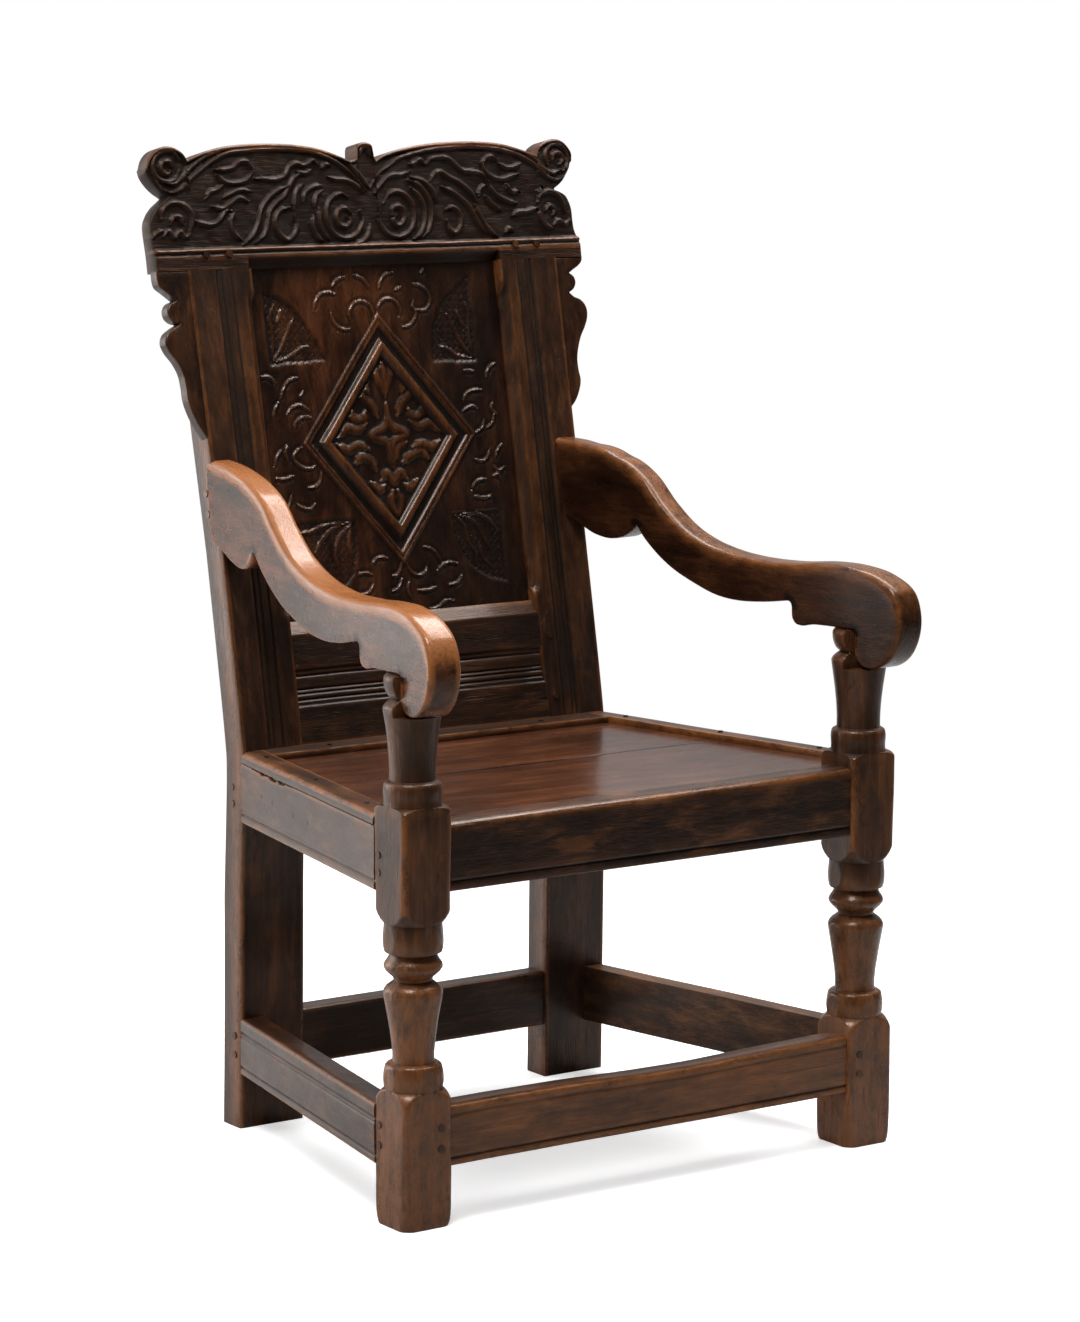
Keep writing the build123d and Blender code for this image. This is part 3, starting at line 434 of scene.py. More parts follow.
def oak(
    name, along, tone=1.0, red=1.0, rough=0.42, wear_share=1.0, streaks=0.3, checks=0.6, contrast=1.0,
    relief=0.6, wax=0.18, shine=0.42,
):
    """Waxed oak with its grain along one axis. Figure, fibre and pores are noises stretched along
    the grain, and streaks of bare wood come through the wax in patches. The attribute for wear
    brings up more of it on the arrises, and on some pieces paints highlights and the floor's
    reflection as well; the attribute for dirt puts old wax in the hollows, and on some pieces
    paints shade as well; and checks are thin dark cracks where a stretched noise crosses its
    middle value. tone and red are factors of the colour, and wax and shine the strength of the
    coat and of the sheen below it."""
    colours = bpy.context.scene.chair_colours
    material = bpy.data.materials.new(name)
    sheet = NodeSheet(material)
    place = sheet.add("ShaderNodeTexCoord").outputs["Object"]

    def noise(cross, run, detail, rough=0.6, bend=0.0, shift=0.0):
        scale = [cross, cross, cross]
        scale["XYZ".index(along)] = run
        start = (shift, shift * 0.7, shift * 1.3)
        mapped = sheet.add("ShaderNodeMapping", {"Vector": place, "Scale": scale, "Location": start})
        inputs = {"Scale": 1.0, "Detail": detail, "Roughness": rough, "Distortion": bend}
        return sheet.add("ShaderNodeTexNoise", {"Vector": mapped.outputs[0], **inputs}).outputs[0]

    figure = noise(42.0, 2.6, 3.0, 0.5, 0.9)
    fibre = noise(330.0, 10.0, 4.0, 0.6)
    pores = noise(900.0, 40.0, 2.0, 0.5, shift=3.0)
    patch = noise(16.0, 9.0, 4.0, 0.6, 0.3, shift=7.0)
    scuff = noise(60.0, 36.0, 4.0, 0.7, shift=5.0)
    streak = noise(72.0, 15.0, 5.0, 0.64, 0.6, shift=11.0)
    crack = noise(70.0, 1.8, 2.0, 0.45, 0.3, shift=17.0)

    mixed = sheet.plus(sheet.times(figure, 0.5), sheet.times(fibre, 0.2))
    mixed = sheet.plus(mixed, sheet.times(patch, 0.5))
    middle, reach = 0.6, 0.17 / contrast
    value = sheet.spread(mixed, middle - reach, middle + reach)
    stops = []
    for at, colour in ((0.0, colours.oak_dark), (0.5, colours.oak_middle), (1.0, colours.oak_light)):
        stops.append((at, (colour[0] * tone * red, colour[1] * tone, colour[2] * tone)))
    wood = sheet.ramp(value, stops)
    bare_and_highlit_wood = [c * (0.6 + 0.4 * tone) for c in colours.bare_and_highlight_oak]
    bare = sheet.mix(fibre, (*[c * 0.55 for c in bare_and_highlit_wood], 1), (*bare_and_highlit_wood, 1))
    through = sheet.times(sheet.spread(streak, 0.48, 0.64), sheet.spread(patch, 0.4, 0.58))
    colour = sheet.mix(sheet.times(through, streaks), wood, bare)

    # Bare wood comes up here, and on some pieces painted highlights and a painted reflection of the floor.
    wear = sheet.add("ShaderNodeAttribute", attribute_name="wear").outputs["Fac"]
    broken = sheet.plus(sheet.times(scuff, 0.7), sheet.times(streak, 0.6))
    broken = sheet.spread(broken, 0.45, 0.85)
    worn_and_highlit = sheet.times(wear, sheet.plus(broken, 0.12), clamp=True)
    worn_and_highlit = sheet.times(worn_and_highlit, colours.wear * wear_share, clamp=True)
    colour = sheet.mix(worn_and_highlit, colour, bare)
    # Old wax darkens the colour here, and on some pieces painted shade.
    dirt = sheet.add("ShaderNodeAttribute", attribute_name="dirt").outputs["Fac"]
    colour = sheet.mix(sheet.times(dirt, 0.9), colour, (*colours.old_wax_and_shade, 1))
    line = sheet.math("ABSOLUTE", sheet.minus(crack, 0.5))
    split = sheet.times(sheet.spread(line, 0.009, 0.003), sheet.spread(patch, 0.5, 0.6))
    split = sheet.times(split, checks)
    colour = sheet.mix(split, colour, (*colours.old_wax_and_shade, 1))

    dull = sheet.plus(sheet.times(scuff, 0.3), rough - 0.15)
    dull = sheet.plus(dull, sheet.times(dirt, 0.1))
    dull = sheet.minus(dull, sheet.times(wear, 0.10), clamp=True)
    height = sheet.times(fibre, 0.55)
    height = sheet.plus(height, sheet.times(sheet.spread(pores, 0.52, 0.64), -0.35))
    height = sheet.plus(height, sheet.times(scuff, 1.3))
    height = sheet.minus(height, sheet.times(split, 1.5))
    bump = sheet.add("ShaderNodeBump", {"Strength": relief, "Distance": PORE_DEPTH, "Height": height})
    surface = sheet.add(
        "ShaderNodeBsdfPrincipled",
        {
            "Base Color": colour,
            "Roughness": dull,
            "Normal": bump.outputs[0],
            "IOR": 1.5,
            "Specular IOR Level": shine,
            "Specular Tint": SHELLAC_TINT,
            "Coat Weight": wax,
            "Coat Roughness": 0.12,
        },
    )
    sheet.add("ShaderNodeOutputMaterial", {"Surface": surface.outputs[0]})
    return material


def iron():
    """Rusted wrought iron of the nails: mottled brown-black with a dull grain."""
    material = bpy.data.materials.new("nail_iron")
    sheet = NodeSheet(material)
    place = sheet.add("ShaderNodeTexCoord").outputs["Object"]
    mottle = sheet.add("ShaderNodeTexNoise", {"Vector": place, "Scale": 900.0, "Detail": 4.0}).outputs[0]
    colour = sheet.ramp(mottle, [(0.3, (0.010, 0.008, 0.007)), (0.7, (0.055, 0.030, 0.018))])
    bump = sheet.add("ShaderNodeBump", {"Strength": 0.6, "Distance": 0.0003, "Height": mottle})
    surface = sheet.add(
        "ShaderNodeBsdfPrincipled",
        {
            "Base Color": colour,
            "Metallic": 0.5,
            "Roughness": sheet.spread(mottle, -0.5, 1.4),
            "Normal": bump.outputs[0],
        },
    )
    sheet.add("ShaderNodeOutputMaterial", {"Surface": surface.outputs[0]})
    return material


# How the oak of each kind of piece differs from the plain recipe.
FRAME_OAK = dict(tone=0.7, red=1.05, rough=0.40, wear_share=0.9)
OAKS = {
    # The legs' oak is lighter, partly as a painted reflection of the floor and the backdrop.
    "leg_oak": dict(along="Z", tone=1.2, rough=0.38, wear_share=0.85, streaks=0.28),
    "frame_oak_x": dict(FRAME_OAK, along="X"),
    "frame_oak_y": dict(FRAME_OAK, along="Y"),
    "frame_oak_z": dict(FRAME_OAK, along="Z"),
    # The near arm's oak is a lit copy and the far arm's a shaded copy of the same oak: painted light on the
    # near arm, painted shade on the far one.
    "arm_oak": dict(
        along="Y", tone=1.35, red=1.2, rough=0.29, wear_share=3.6, streaks=0.22, checks=0.3, wax=0.2,
        shine=0.36,
    ),
    "far_arm_oak": dict(
        along="Y", tone=0.56, red=1.15, rough=0.30, wear_share=1.1, streaks=0.16, checks=0.3, contrast=0.8,
        wax=0.12, shine=0.26,
    ),
    "bracket_oak": dict(along="Z", tone=0.42, red=1.1, rough=0.36, wear_share=0.9, streaks=0.2, checks=0.4),
    "rail_oak": dict(
        along="X", tone=0.55, red=1.15, rough=0.34, wear_share=1.2, streaks=0.55, checks=0.9, contrast=1.2
    ),
    # The front stretcher's oak is lighter, partly as a painted reflection of the floor.
    "stretcher_oak": dict(along="X", tone=1.3, rough=0.4, streaks=0.4, checks=0.5),
    "dry_oak": dict(along="Y", tone=2.0, red=0.92, rough=0.44, streaks=0.45, checks=0.5),
    "carved_oak": dict(
        along="X", tone=0.38, red=1.2, rough=0.38, wear_share=0.9, streaks=0.12, checks=0.3, wax=0.04,
        shine=0.32,
    ),
    "panel_oak": dict(
        along="Z", tone=0.43, red=1.3, rough=0.32, wear_share=0.6, streaks=0.2, checks=0.4, contrast=1.3
    ),
    "seat_oak": dict(
        along="X", tone=1.5, red=1.2, rough=0.20, wear_share=0.8, streaks=0.08, checks=0.2, contrast=0.5,
        relief=0.2,
    ),
    "edging_oak": dict(along="Y", tone=1.1, rough=0.38),
}


def oak_of(name):
    """The oak of that name, made once and then shared."""
    return bpy.data.materials.get(name) or oak(name, **OAKS[name])


# ---------------------------------------------------------------- front legs
def leg_turning():
    """Radius up a leg, in runs that are smooth between the edges of the turning."""
    runs = [
        [(0, 38.0), (1.5, 41.0), (5, 43.0)],
        [(5, 43.0), (126, 43.0)],
        [(126, 43.0), (134, 42.4), (142, 39.0), (147, 35.2), (150, 31.5)],
        [(150, 31.5), (152, 31.9), (172, 31.6), (176, 30.4), (178, 27.5)],
        [(178, 27.5), (178.6, 23.6)],
        [
            (178.6, 23.6), (182, 23.2), (200, 24.0), (215, 26.0), (228, 28.0), (240, 30.0), (249, 31.6),
            (254, 32.2),
        ],
        [(254, 32.2), (257.5, 31.4), (261.5, 28.6), (265, 24.0), (267.5, 20.8)],
        [
            (267.5, 20.8), (270.5, 21.6), (275, 26.0), (279.5, 30.2), (283, 31.8), (286.5, 30.8),
            (291, 27.8), (296, 25.4),
        ],
        [(296, 25.4), (299, 31.0)],
        [(299, 31.0), (301.5, 31.7), (328, 31.6), (330, 31.4)],
        [(330, 31.4), (335, 35.5), (343, 39.8), (353, 42.3), (363, 43.0)],
        [(363, 43.0), (447, 43.0)],
        [(447, 43.0), (452, 41.6), (455.5, 37.6), (457, 31.6)],
        [(457, 31.6), (460, 31.2), (477, 31.2), (481, 30.2), (483, 27.2)],
        [(483, 27.2), (484, 25.0)],
        [(484, 25.0), (495, 25.0), (510, 25.7), (530, 27.8), (550, 30.6), (558, 31.8), (561, 32.0)],
        [(561, 32.0), (563, 31.0), (571, 22.2)],
        [(571, 22.2), (574, 26.2), (580, 29.4), (588, 30.9), (593.5, 30.7), (596, 29.0)],
    ]
    return np.concatenate([smooth_line(run, 2.0) for run in runs])


def add_leg(name, node, material, mirrored, worn_corner):
    """A leg as rings up its axis. The radius is the smaller of the turning's and that of a
    square with rounded corners: half the side over the cosine, or the corner's circle. Above
    the housing a flat cheek in front makes room for the arm's scroll."""
    line = leg_turning()
    housing = 552.7
    cut = np.searchsorted(line[:, 0], housing)
    at_housing = [housing, np.interp(housing, line[:, 0], line[:, 1])]
    line = np.concatenate([line[:cut], [at_housing, at_housing], line[cut:]])
    angle = np.linspace(0, 2 * math.pi, 145)[:-1]
    turn = np.abs((angle + math.pi / 4) % (math.pi / 2) - math.pi / 4)
    height = line[:, 0]
    axis = np.stack([height * 0, height * 0, height], -1)
    corner = worn_corner + 2.5 * np.clip(ripple(axis, 90.0, 5), 0, 1)
    corner = corner + 6.0 * np.exp(-height / 5.0)
    reach = LEG_HALF - corner[:, None]
    k = reach * (np.cos(turn) + np.sin(turn))
    rounded = k + np.sqrt(np.maximum(k**2 - 2 * reach**2 + corner[:, None] ** 2, 0))
    flat = LEG_HALF / np.cos(turn)
    square = np.where(LEG_HALF * np.tan(turn) <= reach, flat, rounded)
    turned = np.broadcast_to(line[:, 1:2], square.shape)
    radius = np.minimum(square, turned)
    front = np.clip(-np.sin(angle), 1e-6, None)
    above = np.arange(len(line)) > cut
    cheek = 8.7
    radius = np.where(above[:, None], np.minimum(radius, cheek / front), radius)
    skin = 0.3  # keeps the ripples within the faces of the joints
    radius = radius - skin
    x = LEG_X + radius * np.cos(angle)
    y = LEG_Y + radius * np.sin(angle)
    rings = np.stack(np.broadcast_arrays(x, y, height[:, None]), -1)
    below = height[:, None, None] < housing
    rings[..., :2] += ripple(rings, 70.0, 3 + mirrored)[..., None] * 0.25 * below

    mean = box_mean(line[:, 1:2], 2, 0, None)[:, 0]
    ring_wear = np.clip((line[:, 1] - mean) * 0.8, 0, 1)
    ring_dirt = np.clip((mean - line[:, 1]) * 0.6, 0, 1)
    is_block = square < turned + 0.3
    corner_wear = is_block * ease(turn, math.radians(33), math.radians(42))
    wear = np.maximum(ring_wear[:, None], corner_wear)
    wear = np.maximum(wear, np.exp(-height / 6.0)[:, None] * 0.8)
    # Bare, dusty wood on the turnings below the rail; this lightening low down is partly a painted
    # reflection of the bright floor.
    wear = np.maximum(wear, 0.95 * ease(335.0 - height, 0, 60)[:, None])
    dirt = np.broadcast_to(ring_dirt[:, None], wear.shape)
    return add_rings(name, rings, wear, dirt, material, [node], mirrored)


# ---------------------------------------------------------------- arms
# Side views of the arms in runs that meet in corners: distance behind the leg's axis, and height.
NEAR_ARM = {
    "top": [
        (508, 776.5), (481, 775), (431, 770), (381, 758), (351, 745), (315.5, 717), (280, 693),
        (246, 679), (199.5, 667.5), (160, 663.5), (99, 663.5), (44, 667), (0, 666.5), (-41.3, 657.5),
        (-69, 640), (-78.8, 619), (-77.2, 592), (-64.5, 570), (-40, 556.5), (-20, 558.5), (-10, 569),
        (-9, 584),
    ],
    "under": [
        (99, 619), (141, 611.5), (183.4, 608), (218.7, 611), (257, 620), (296.3, 633), (334.6, 654),
        (353.7, 668), (369.9, 683),
    ],
    "lobe": [(369.9, 683), (376, 674.5), (386, 665.5), (404, 661), (431, 665), (462.6, 676), (490, 684)],
}
FAR_ARM = {
    "top": [
        (508, 776.5), (489, 775.2), (470, 774.2), (450, 771.6), (431, 770.6), (410, 766.6), (395, 761.4),
        (381, 757.6), (351, 743), (315.5, 712), (280, 687.5),
        (246, 674), (199.5, 664.5), (160, 661.5), (99, 662.5), (44, 667), (0, 667), (-41.3, 659.5),
        (-71, 643), (-79.5, 620), (-77.5, 592), (-64.5, 569), (-40, 555.5), (-20, 557.5), (-10, 569),
        (-9, 584),
    ],
    "under": [
        (99, 619), (141, 612.5), (183.4, 610), (218.7, 613), (257, 623), (296.3, 638), (330, 658),
        (345, 670), (356, 682),
    ],
    "lobe": [(356, 682), (366, 674.0), (382, 665.5), (402, 662), (431, 665), (462.6, 676), (490, 684)],
}


def add_arm(name, node, shape, material, mirrored):
    """An arm sawn to its side view, rounder on top than below, and thinned towards the
    stile on its inner face."""
    runs = [
        shape["top"],
        [(-9, 584), (-9, 596.2)],
        [(-9, 596.2), (34, 596.2)],
        [(34, 596.2), (60, 595.2), (78, 592.5), (86, 594), (91.5, 600), (92.7, 608)],
        [(92.7, 608), (92.9, 613.5), (95, 617.5), (99, 619)],
        shape["under"],
        shape["lobe"],
        [shape["lobe"][-1], shape["top"][0]],
    ]
    line = closed_line(runs, 2.5)

    # The arrises are rounder where the outline looks up, and a little where it looks back.
    def radius(inward):
        return 2.6 + 3.6 * np.clip(-inward[:, 1], 0, 1) + 2.0 * np.clip(inward[:, 0], 0, 1)

    # The outer face is flat, and the inner one comes in evenly towards the stile.
    def faces(along):
        inner = -ARM_HALF + ARM_TAPER * np.clip(along / ARM_RUN, 0, 1)
        return np.full_like(along, ARM_HALF), inner

    return add_plate(name, line, radius, faces, arm_point, material, [node], mirrored, top_wear=1.0)


# ---------------------------------------------------------------- rear stiles
# How far the outer edge of a stile has warped forwards: heights, and the amounts there.
STRAIGHT = ([0, 1002], [0, 0])
WARPED = ([0, 273, 444, 520, 676, 772, 900, 992], [0, 2, 12, 13, 13, 9, 3, 0])


def stile_front(z):
    """Front of a stile at a height: a plumb and a leaning straight, joined by a soft knee that
    is half their sum and the root of half their difference squared and a little more."""
    foot = KNEE_Y + FOOT_KICK * (1 - z / KNEE_Z)
    lean = KNEE_Y + (z - KNEE_Z) * math.tan(RAKE)
    soft = 9.0
    return (foot + lean) / 2 + np.sqrt(((foot - lean) / 2) ** 2 + soft)


def add_stile(name, node, material, mirrored, bow, worn_from):
    """A stile carried up its centre line, with a moulded run and a stopped chamfer on its
    face. bow gives how far it has warped forward at its outer edge, by height, and worn_from
    how far from its inner edge the bare wood starts."""
    across = np.linspace(STILE_IN, STILE_OUT, 88)
    top = KNEE_Z + BACK_LENGTH * math.cos(RAKE)
    along = np.linspace(0, top, 240)

    # Bare wood between the chamfer and the moulded run, mottled by a slow wave; old wax in the
    # run, on the chamfer and low down.
    def zones(x, z):
        inner = x - STILE_IN
        s = (z - KNEE_Z) / math.cos(RAKE)
        above = ease(s, 20, 60)
        mottle = 0.75 + 0.35 * ripple(np.stack([x * 0.2, z * 0, z], -1), 60.0, len(name))
        bare = 0.5 * ((inner > worn_from) & (inner < 26.5)) + 0.14 * (inner > 50.0)
        worn_and_highlit = bare * mottle * ease(s, 120, 260) * ease(570 - s, -5, 60)
        dark = 0.35 * ((inner > 28) & (inner < 48.5)) + 0.15 * (1 - ease(s, 100, 240))
        return worn_and_highlit, 0.3 * ease(s, -10, 30) + dark * above

    # Three scratched lines round a sunk band, a chamfer at the inner edge that stops short of
    # both rails, and an arris at each edge.
    def face(x, z):
        s = (z - KNEE_Z) / math.cos(RAKE)
        inner = x - STILE_IN
        chamfer = np.clip(11.0 - inner, 0, None) * ease(s, 168, 176) * (1 - ease(s, 528, 548))
        run = groove(inner, 27.5, 2.6, 1.8) + groove(inner, 47.0, 3.0, 2.2) + groove(inner, 39.0, 2.2, 1.2)
        run = run + 1.1 * ease(inner, 39, 40) * (1 - ease(inner, 46, 47))
        run = run * ease(s, 12, 20)
        return chamfer * 0.9 + run + arris(inner, 2.0) * (chamfer < 0.1) + arris(STILE_OUT - x, 3.0)

    # Depth is square to the face, so it turns with the lean above the knee.
    def place(x, z, depth):
        lean = np.where(z > KNEE_Z, RAKE, 0.0) * ease(z, KNEE_Z - 30, KNEE_Z + 30)
        share = 0.25 + 0.75 * (x - STILE_IN) / (STILE_OUT - STILE_IN)
        forward = np.interp(z, *bow) * share
        y = stile_front(z) - forward + depth * np.cos(lean)
        low = np.clip(z / 40.0, 0, 1)
        return np.stack([x, y, z - depth * np.sin(lean) * low], -1)

    return add_member(
        name, across, along, face, STILE_THICK, place, material, [node], mirrored, zones=zones
    )


# ---------------------------------------------------------------- the script's classes
class ChairColours(bpy.types.PropertyGroup):
    """Colours of the oak, as linear values, and how strongly the wear and the painted highlights show."""

    oak_dark: FloatVectorProperty(
        name="Dark oak", description="Darkest bands of the waxed oak", subtype="COLOR",
        default=(0.008, 0.0037, 0.0022),
    )
    oak_middle: FloatVectorProperty(
        name="Oak", description="Usual colour of the waxed oak", subtype="COLOR",
        default=(0.038, 0.0155, 0.0072),
    )
    oak_light: FloatVectorProperty(
        name="Light oak", description="Lightest bands of the waxed oak", subtype="COLOR",
        default=(0.105, 0.041, 0.0165),
    )
    # Also the colour of the painted highlights and of the floor's painted reflection.
    bare_and_highlight_oak: FloatVectorProperty(
        name="Bare oak", description="Wood worn bare along the arrises", subtype="COLOR",
        default=(0.37, 0.132, 0.040),
    )
    # Also the colour of the painted shade.
    old_wax_and_shade: FloatVectorProperty(
        name="Old wax", description="Wax and dust in the hollows", subtype="COLOR",
        default=(0.0035, 0.0024, 0.0018),
    )
    # Also sets how strongly the painted highlights and the floor's painted reflection show.
    wear: FloatProperty(
        name="Wear", description="How much bare wood shows along the arrises", min=0, max=1, default=0.8,
    )


class ChairSizes(bpy.types.PropertyGroup):
    """Sizes of the carving and of the scratched lines."""

    carving_depth: FloatProperty(
        name="Carving depth", description="Depth of the ground between the ridges of the crest rail",
        unit="LENGTH", min=0.001, max=0.006, default=0.0036,
    )
    ridge_width: FloatProperty(
        name="Ridge width", description="Width of the ridges of the crest rail", unit="LENGTH",
        min=0.003, max=0.012, default=0.007,
    )
    cut_width: FloatProperty(
        name="Cut width", description="Width of the gouge cuts of the panel", unit="LENGTH", min=0.002,
        max=0.008, default=0.0034,
    )
    leaf_width: FloatProperty(
        name="Leaf width", description="Width of the leaves within the diamond", unit="LENGTH",
        min=0.004, max=0.02, default=0.013,
    )
    scratch_depth: FloatProperty(
        name="Scratch depth", description="Depth of the scratched lines of rails and stretchers",
        unit="LENGTH", min=0.0005, max=0.004, default=0.0018,
    )


def millimetres(name):
    """One of the sizes that a user may change, in millimetres."""
    return getattr(bpy.context.scene.chair_sizes, name) * 1000.0


class StageSettings(bpy.types.PropertyGroup):
    """Light of the studio."""

    side: FloatProperty(
        name="Side light", description="Power of the light behind the left side", min=0, default=55.0,
    )
    top: FloatProperty(
        name="Top light", description="Power of the light above the seat", min=0, default=100.0,
    )
    key: FloatProperty(
        name="Key light", description="Power of the light in front on the left", min=0, default=110.0,
    )
    fill: FloatProperty(name="Fill", description="Even light from all round", min=0, default=0.045)
    backdrop: FloatProperty(
        name="Backdrop", description="Light from the white sheet behind", min=0, default=0.7,
    )
    floor: FloatProperty(name="Floor glow", description="Lift of the white floor", min=0, default=0.6)


class CHAIR_OT_front_legs(bpy.types.Operator):
    """Add both turned front legs"""

    bl_idname = "chair.front_legs"
    bl_label = "Front legs"

    def execute(self, context):
        add_leg("front_leg_right_turned", "front_leg_right", oak_of("leg_oak"), False, 5.0)
        add_leg("front_leg_left_turned", "front_leg_left", oak_of("leg_oak"), True, 6.5)
        return {"FINISHED"}


class CHAIR_OT_arms(bpy.types.Operator):
    """Add both scrolled arms"""

    bl_idname = "chair.arms"
    bl_label = "Arms"

    def execute(self, context):
        # The far arm takes the shaded copy of the arm oak and the near arm the lit copy: painted shade and
        # painted light.
        add_arm("arm_right_worn", "arm_right", FAR_ARM, oak_of("far_arm_oak"), False)
        add_arm("arm_left_worn", "arm_left", NEAR_ARM, oak_of("arm_oak"), True)
        return {"FINISHED"}


class CHAIR_OT_stiles(bpy.types.Operator):
    """Add both rear stiles"""

    bl_idname = "chair.stiles"
    bl_label = "Stiles"

    def execute(self, context):
        material = oak_of("frame_oak_z")
        add_stile("rear_stile_right_moulded", "rear_stile_right", material, False, STRAIGHT, 11.0)
        add_stile("rear_stile_left_moulded", "rear_stile_left", material, True, WARPED, -1.0)
        return {"FINISHED"}


class CHAIR_OT_rails(bpy.types.Operator):
    """Add the seat rails and the low stretchers"""

    bl_idname = "chair.rails"
    bl_label = "Rails and stretchers"

    def execute(self, context):
        tenon = 4.0
        inner = LEG_X - LEG_HALF + tenon
        across_front = np.linspace(-inner, inner, 180)
        scratch = millimetres("scratch_depth")
        face_y = float(node_box("front_seat_rail")[0][1])

        # The face is a scratched line low down, with a small arris below and a wide nosing above.
        def rail_face(z, x):
            line = groove(z, RAIL_SCRATCH, 3.0, scratch)
            return line + arris(z - RAIL_LOW, 2.2) + arris(SEAT_TOP - z, 8.0)

        # The nosing rises a little from left to right.
        def rail_place(z, x, depth):
            tilt = (x / inner) * 2.0 * ease(z, 380, 439) + 0.5
            return np.stack([x, face_y + depth, z + tilt], -1)

        heights = np.linspace(RAIL_LOW, SEAT_TOP, 79)

        # Bare wood on the nosing, and a pale spot at its left end; old wax below the scratched line.
        def rail_zones(z, x):
            nosing = 0.35 * ease(z, SEAT_TOP - 13, SEAT_TOP - 4)
            # A pale spot where the nosing meets the left leg.
            pale_spot = ease(z, SEAT_TOP - 9, SEAT_TOP - 6) * ease(-x, inner - 16, inner - 12)
            return nosing + pale_spot, 0.3 * (z < 372)

        add_member(
            "front_seat_rail_nosed", heights, across_front, rail_face, 34.0, rail_place, oak_of("rail_oak"),
            ["front_seat_rail"], edge_wear=0.4, zones=rail_zones,
        )

        low, high = node_box("front_stretcher")
        bar_y = float(low[1])
        bottom, top = float(low[2]), float(high[2])
        heights = np.linspace(bottom, top, 70)

        # Two scratched lines near the top of a stretcher and one near its foot.
        def bar_face(z, y):
            lines = groove(z, top - 17.0, 3.0, scratch) + groove(z, top - 21.5, 2.4, scratch * 0.6)
            lines = lines + groove(z, bottom + 9.0, 3.0, scratch)
            return lines + arris(z - bottom, 3.0) + arris(top - z, 4.0)

        # The same lines nearly worn away by feet, under a wider upper arris.
        def worn_face(z, x):
            lines = groove(z, top - 11.0, 3.4, scratch * 0.4) + groove(z, bottom + 9.0, 3.0, scratch * 0.9)
            return lines + arris(z - bottom, 3.0) + arris(top - z, 6.0)

        # The upper edge dips by a bell curve where feet have rested.
        def bar_place(z, x, depth):
            dip = 4.0 * np.exp(-(((x - 40.0) / 130.0) ** 2)) * ease(z, bottom + 12, top)
            return np.stack([x, bar_y + depth, z - dip], -1)

        # Rubbed all over, and more so along the top; the lightening all over is partly a painted reflection
        # of the floor.
        def bar_zones(z, x):
            return 0.4 + 0.3 * ease(z, top - 12, top - 3), 0 * z

        add_member(
            "front_stretcher_moulded", heights, across_front, worn_face, 28.0, bar_place,
            oak_of("stretcher_oak"), ["front_stretcher"], zones=bar_zones,
        )

        along = np.linspace(LEG_BACK - tenon, KNEE_Y + 9.0, 240)

        # Depth is square to the splayed side.
        def side_place(z, y, depth):
            return side_point(y, depth, z)

        for mirrored, side in ((False, "right"), (True, "left")):
            material = oak_of("frame_oak_y") if mirrored else oak_of("dry_oak")
            add_member(
                f"side_stretcher_{side}_moulded", heights, along, bar_face, 28.0, side_place, material,
                [f"side_stretcher_{side}"], mirrored,
            )

        low, high = node_box("side_seat_rail_right")
        side_low, side_high = float(low[2]), float(high[2])
        side_heights = np.linspace(side_low, side_high, 73)

        # The front rail's scratched line runs on, with a fainter one above it.
        def side_face(z, y):
            lines = groove(z, RAIL_SCRATCH, 3.0, scratch)
            lines = lines + groove(z, RAIL_SCRATCH + 5.0, 2.2, scratch * 0.4)
            return lines + arris(z - side_low, 3.0) + arris(side_high - z, 1.0)

        # A split opens along the upper edge of the left rail: two bell curves with a ragged rim.
        def split_face(z, y):
            run = (KNEE_Y - y) / (KNEE_Y - LEG_BACK)
            gape = groove(run, 0.28, 0.18, 4.5) + groove(run, 0.15, 0.10, 2.4)
            gape = gape * (0.8 + 0.3 * np.sin(y / 5.0) + 0.2 * np.sin(y / 2.3))
            return side_face(z, y) + 4.0 * ease(z, side_high - gape - 0.8, side_high - gape + 0.4)

        # Four dark nail heads on the left rail, and a light rubbed tone all over it.
        def side_zones(z, y):
            dots = np.zeros_like(z)
            run = (KNEE_Y - y) / (KNEE_Y - LEG_BACK)
            for at, up in ((0.17, 406.0), (0.26, 405.0), (0.42, 402.0), (0.53, 401.0)):
                dots = np.maximum(dots, np.hypot((run - at) * (KNEE_Y - LEG_BACK), z - up) < 3.0)
            return 0.12 + 0 * z, dots

        for mirrored, side, face in ((False, "right", side_face), (True, "left", split_face)):
            add_member(
                f"side_seat_rail_{side}_moulded", side_heights, along, face, 38.0, side_place,
                oak_of("frame_oak_y"), [f"side_seat_rail_{side}"], mirrored,
                zones=side_zones if mirrored else None,
            )

        # The rails at the back are plain boards with an arris along each edge.
        across_back = np.linspace(-STILE_IN - 3.0, STILE_IN + 3.0, 60)
        for node in ("back_seat_rail", "back_stretcher"):
            low, high = node_box(node)
            rail_low, rail_high, rail_y = float(low[2]), float(high[2]), float(low[1])

            def plain_face(z, x, rail_low=rail_low, rail_high=rail_high):
                return arris(z - rail_low, 2.5) + arris(rail_high - z, 2.5)

            def plain_place(z, x, depth, rail_y=rail_y):
                return np.stack([x, rail_y + depth, z], -1)

            heights_back = np.linspace(rail_low, rail_high, 40)
            add_member(
                f"{node}_planed", heights_back, across_back, plain_face, 28.0, plain_place,
                oak_of("frame_oak_x"), [node],
            )
        return {"FINISHED"}


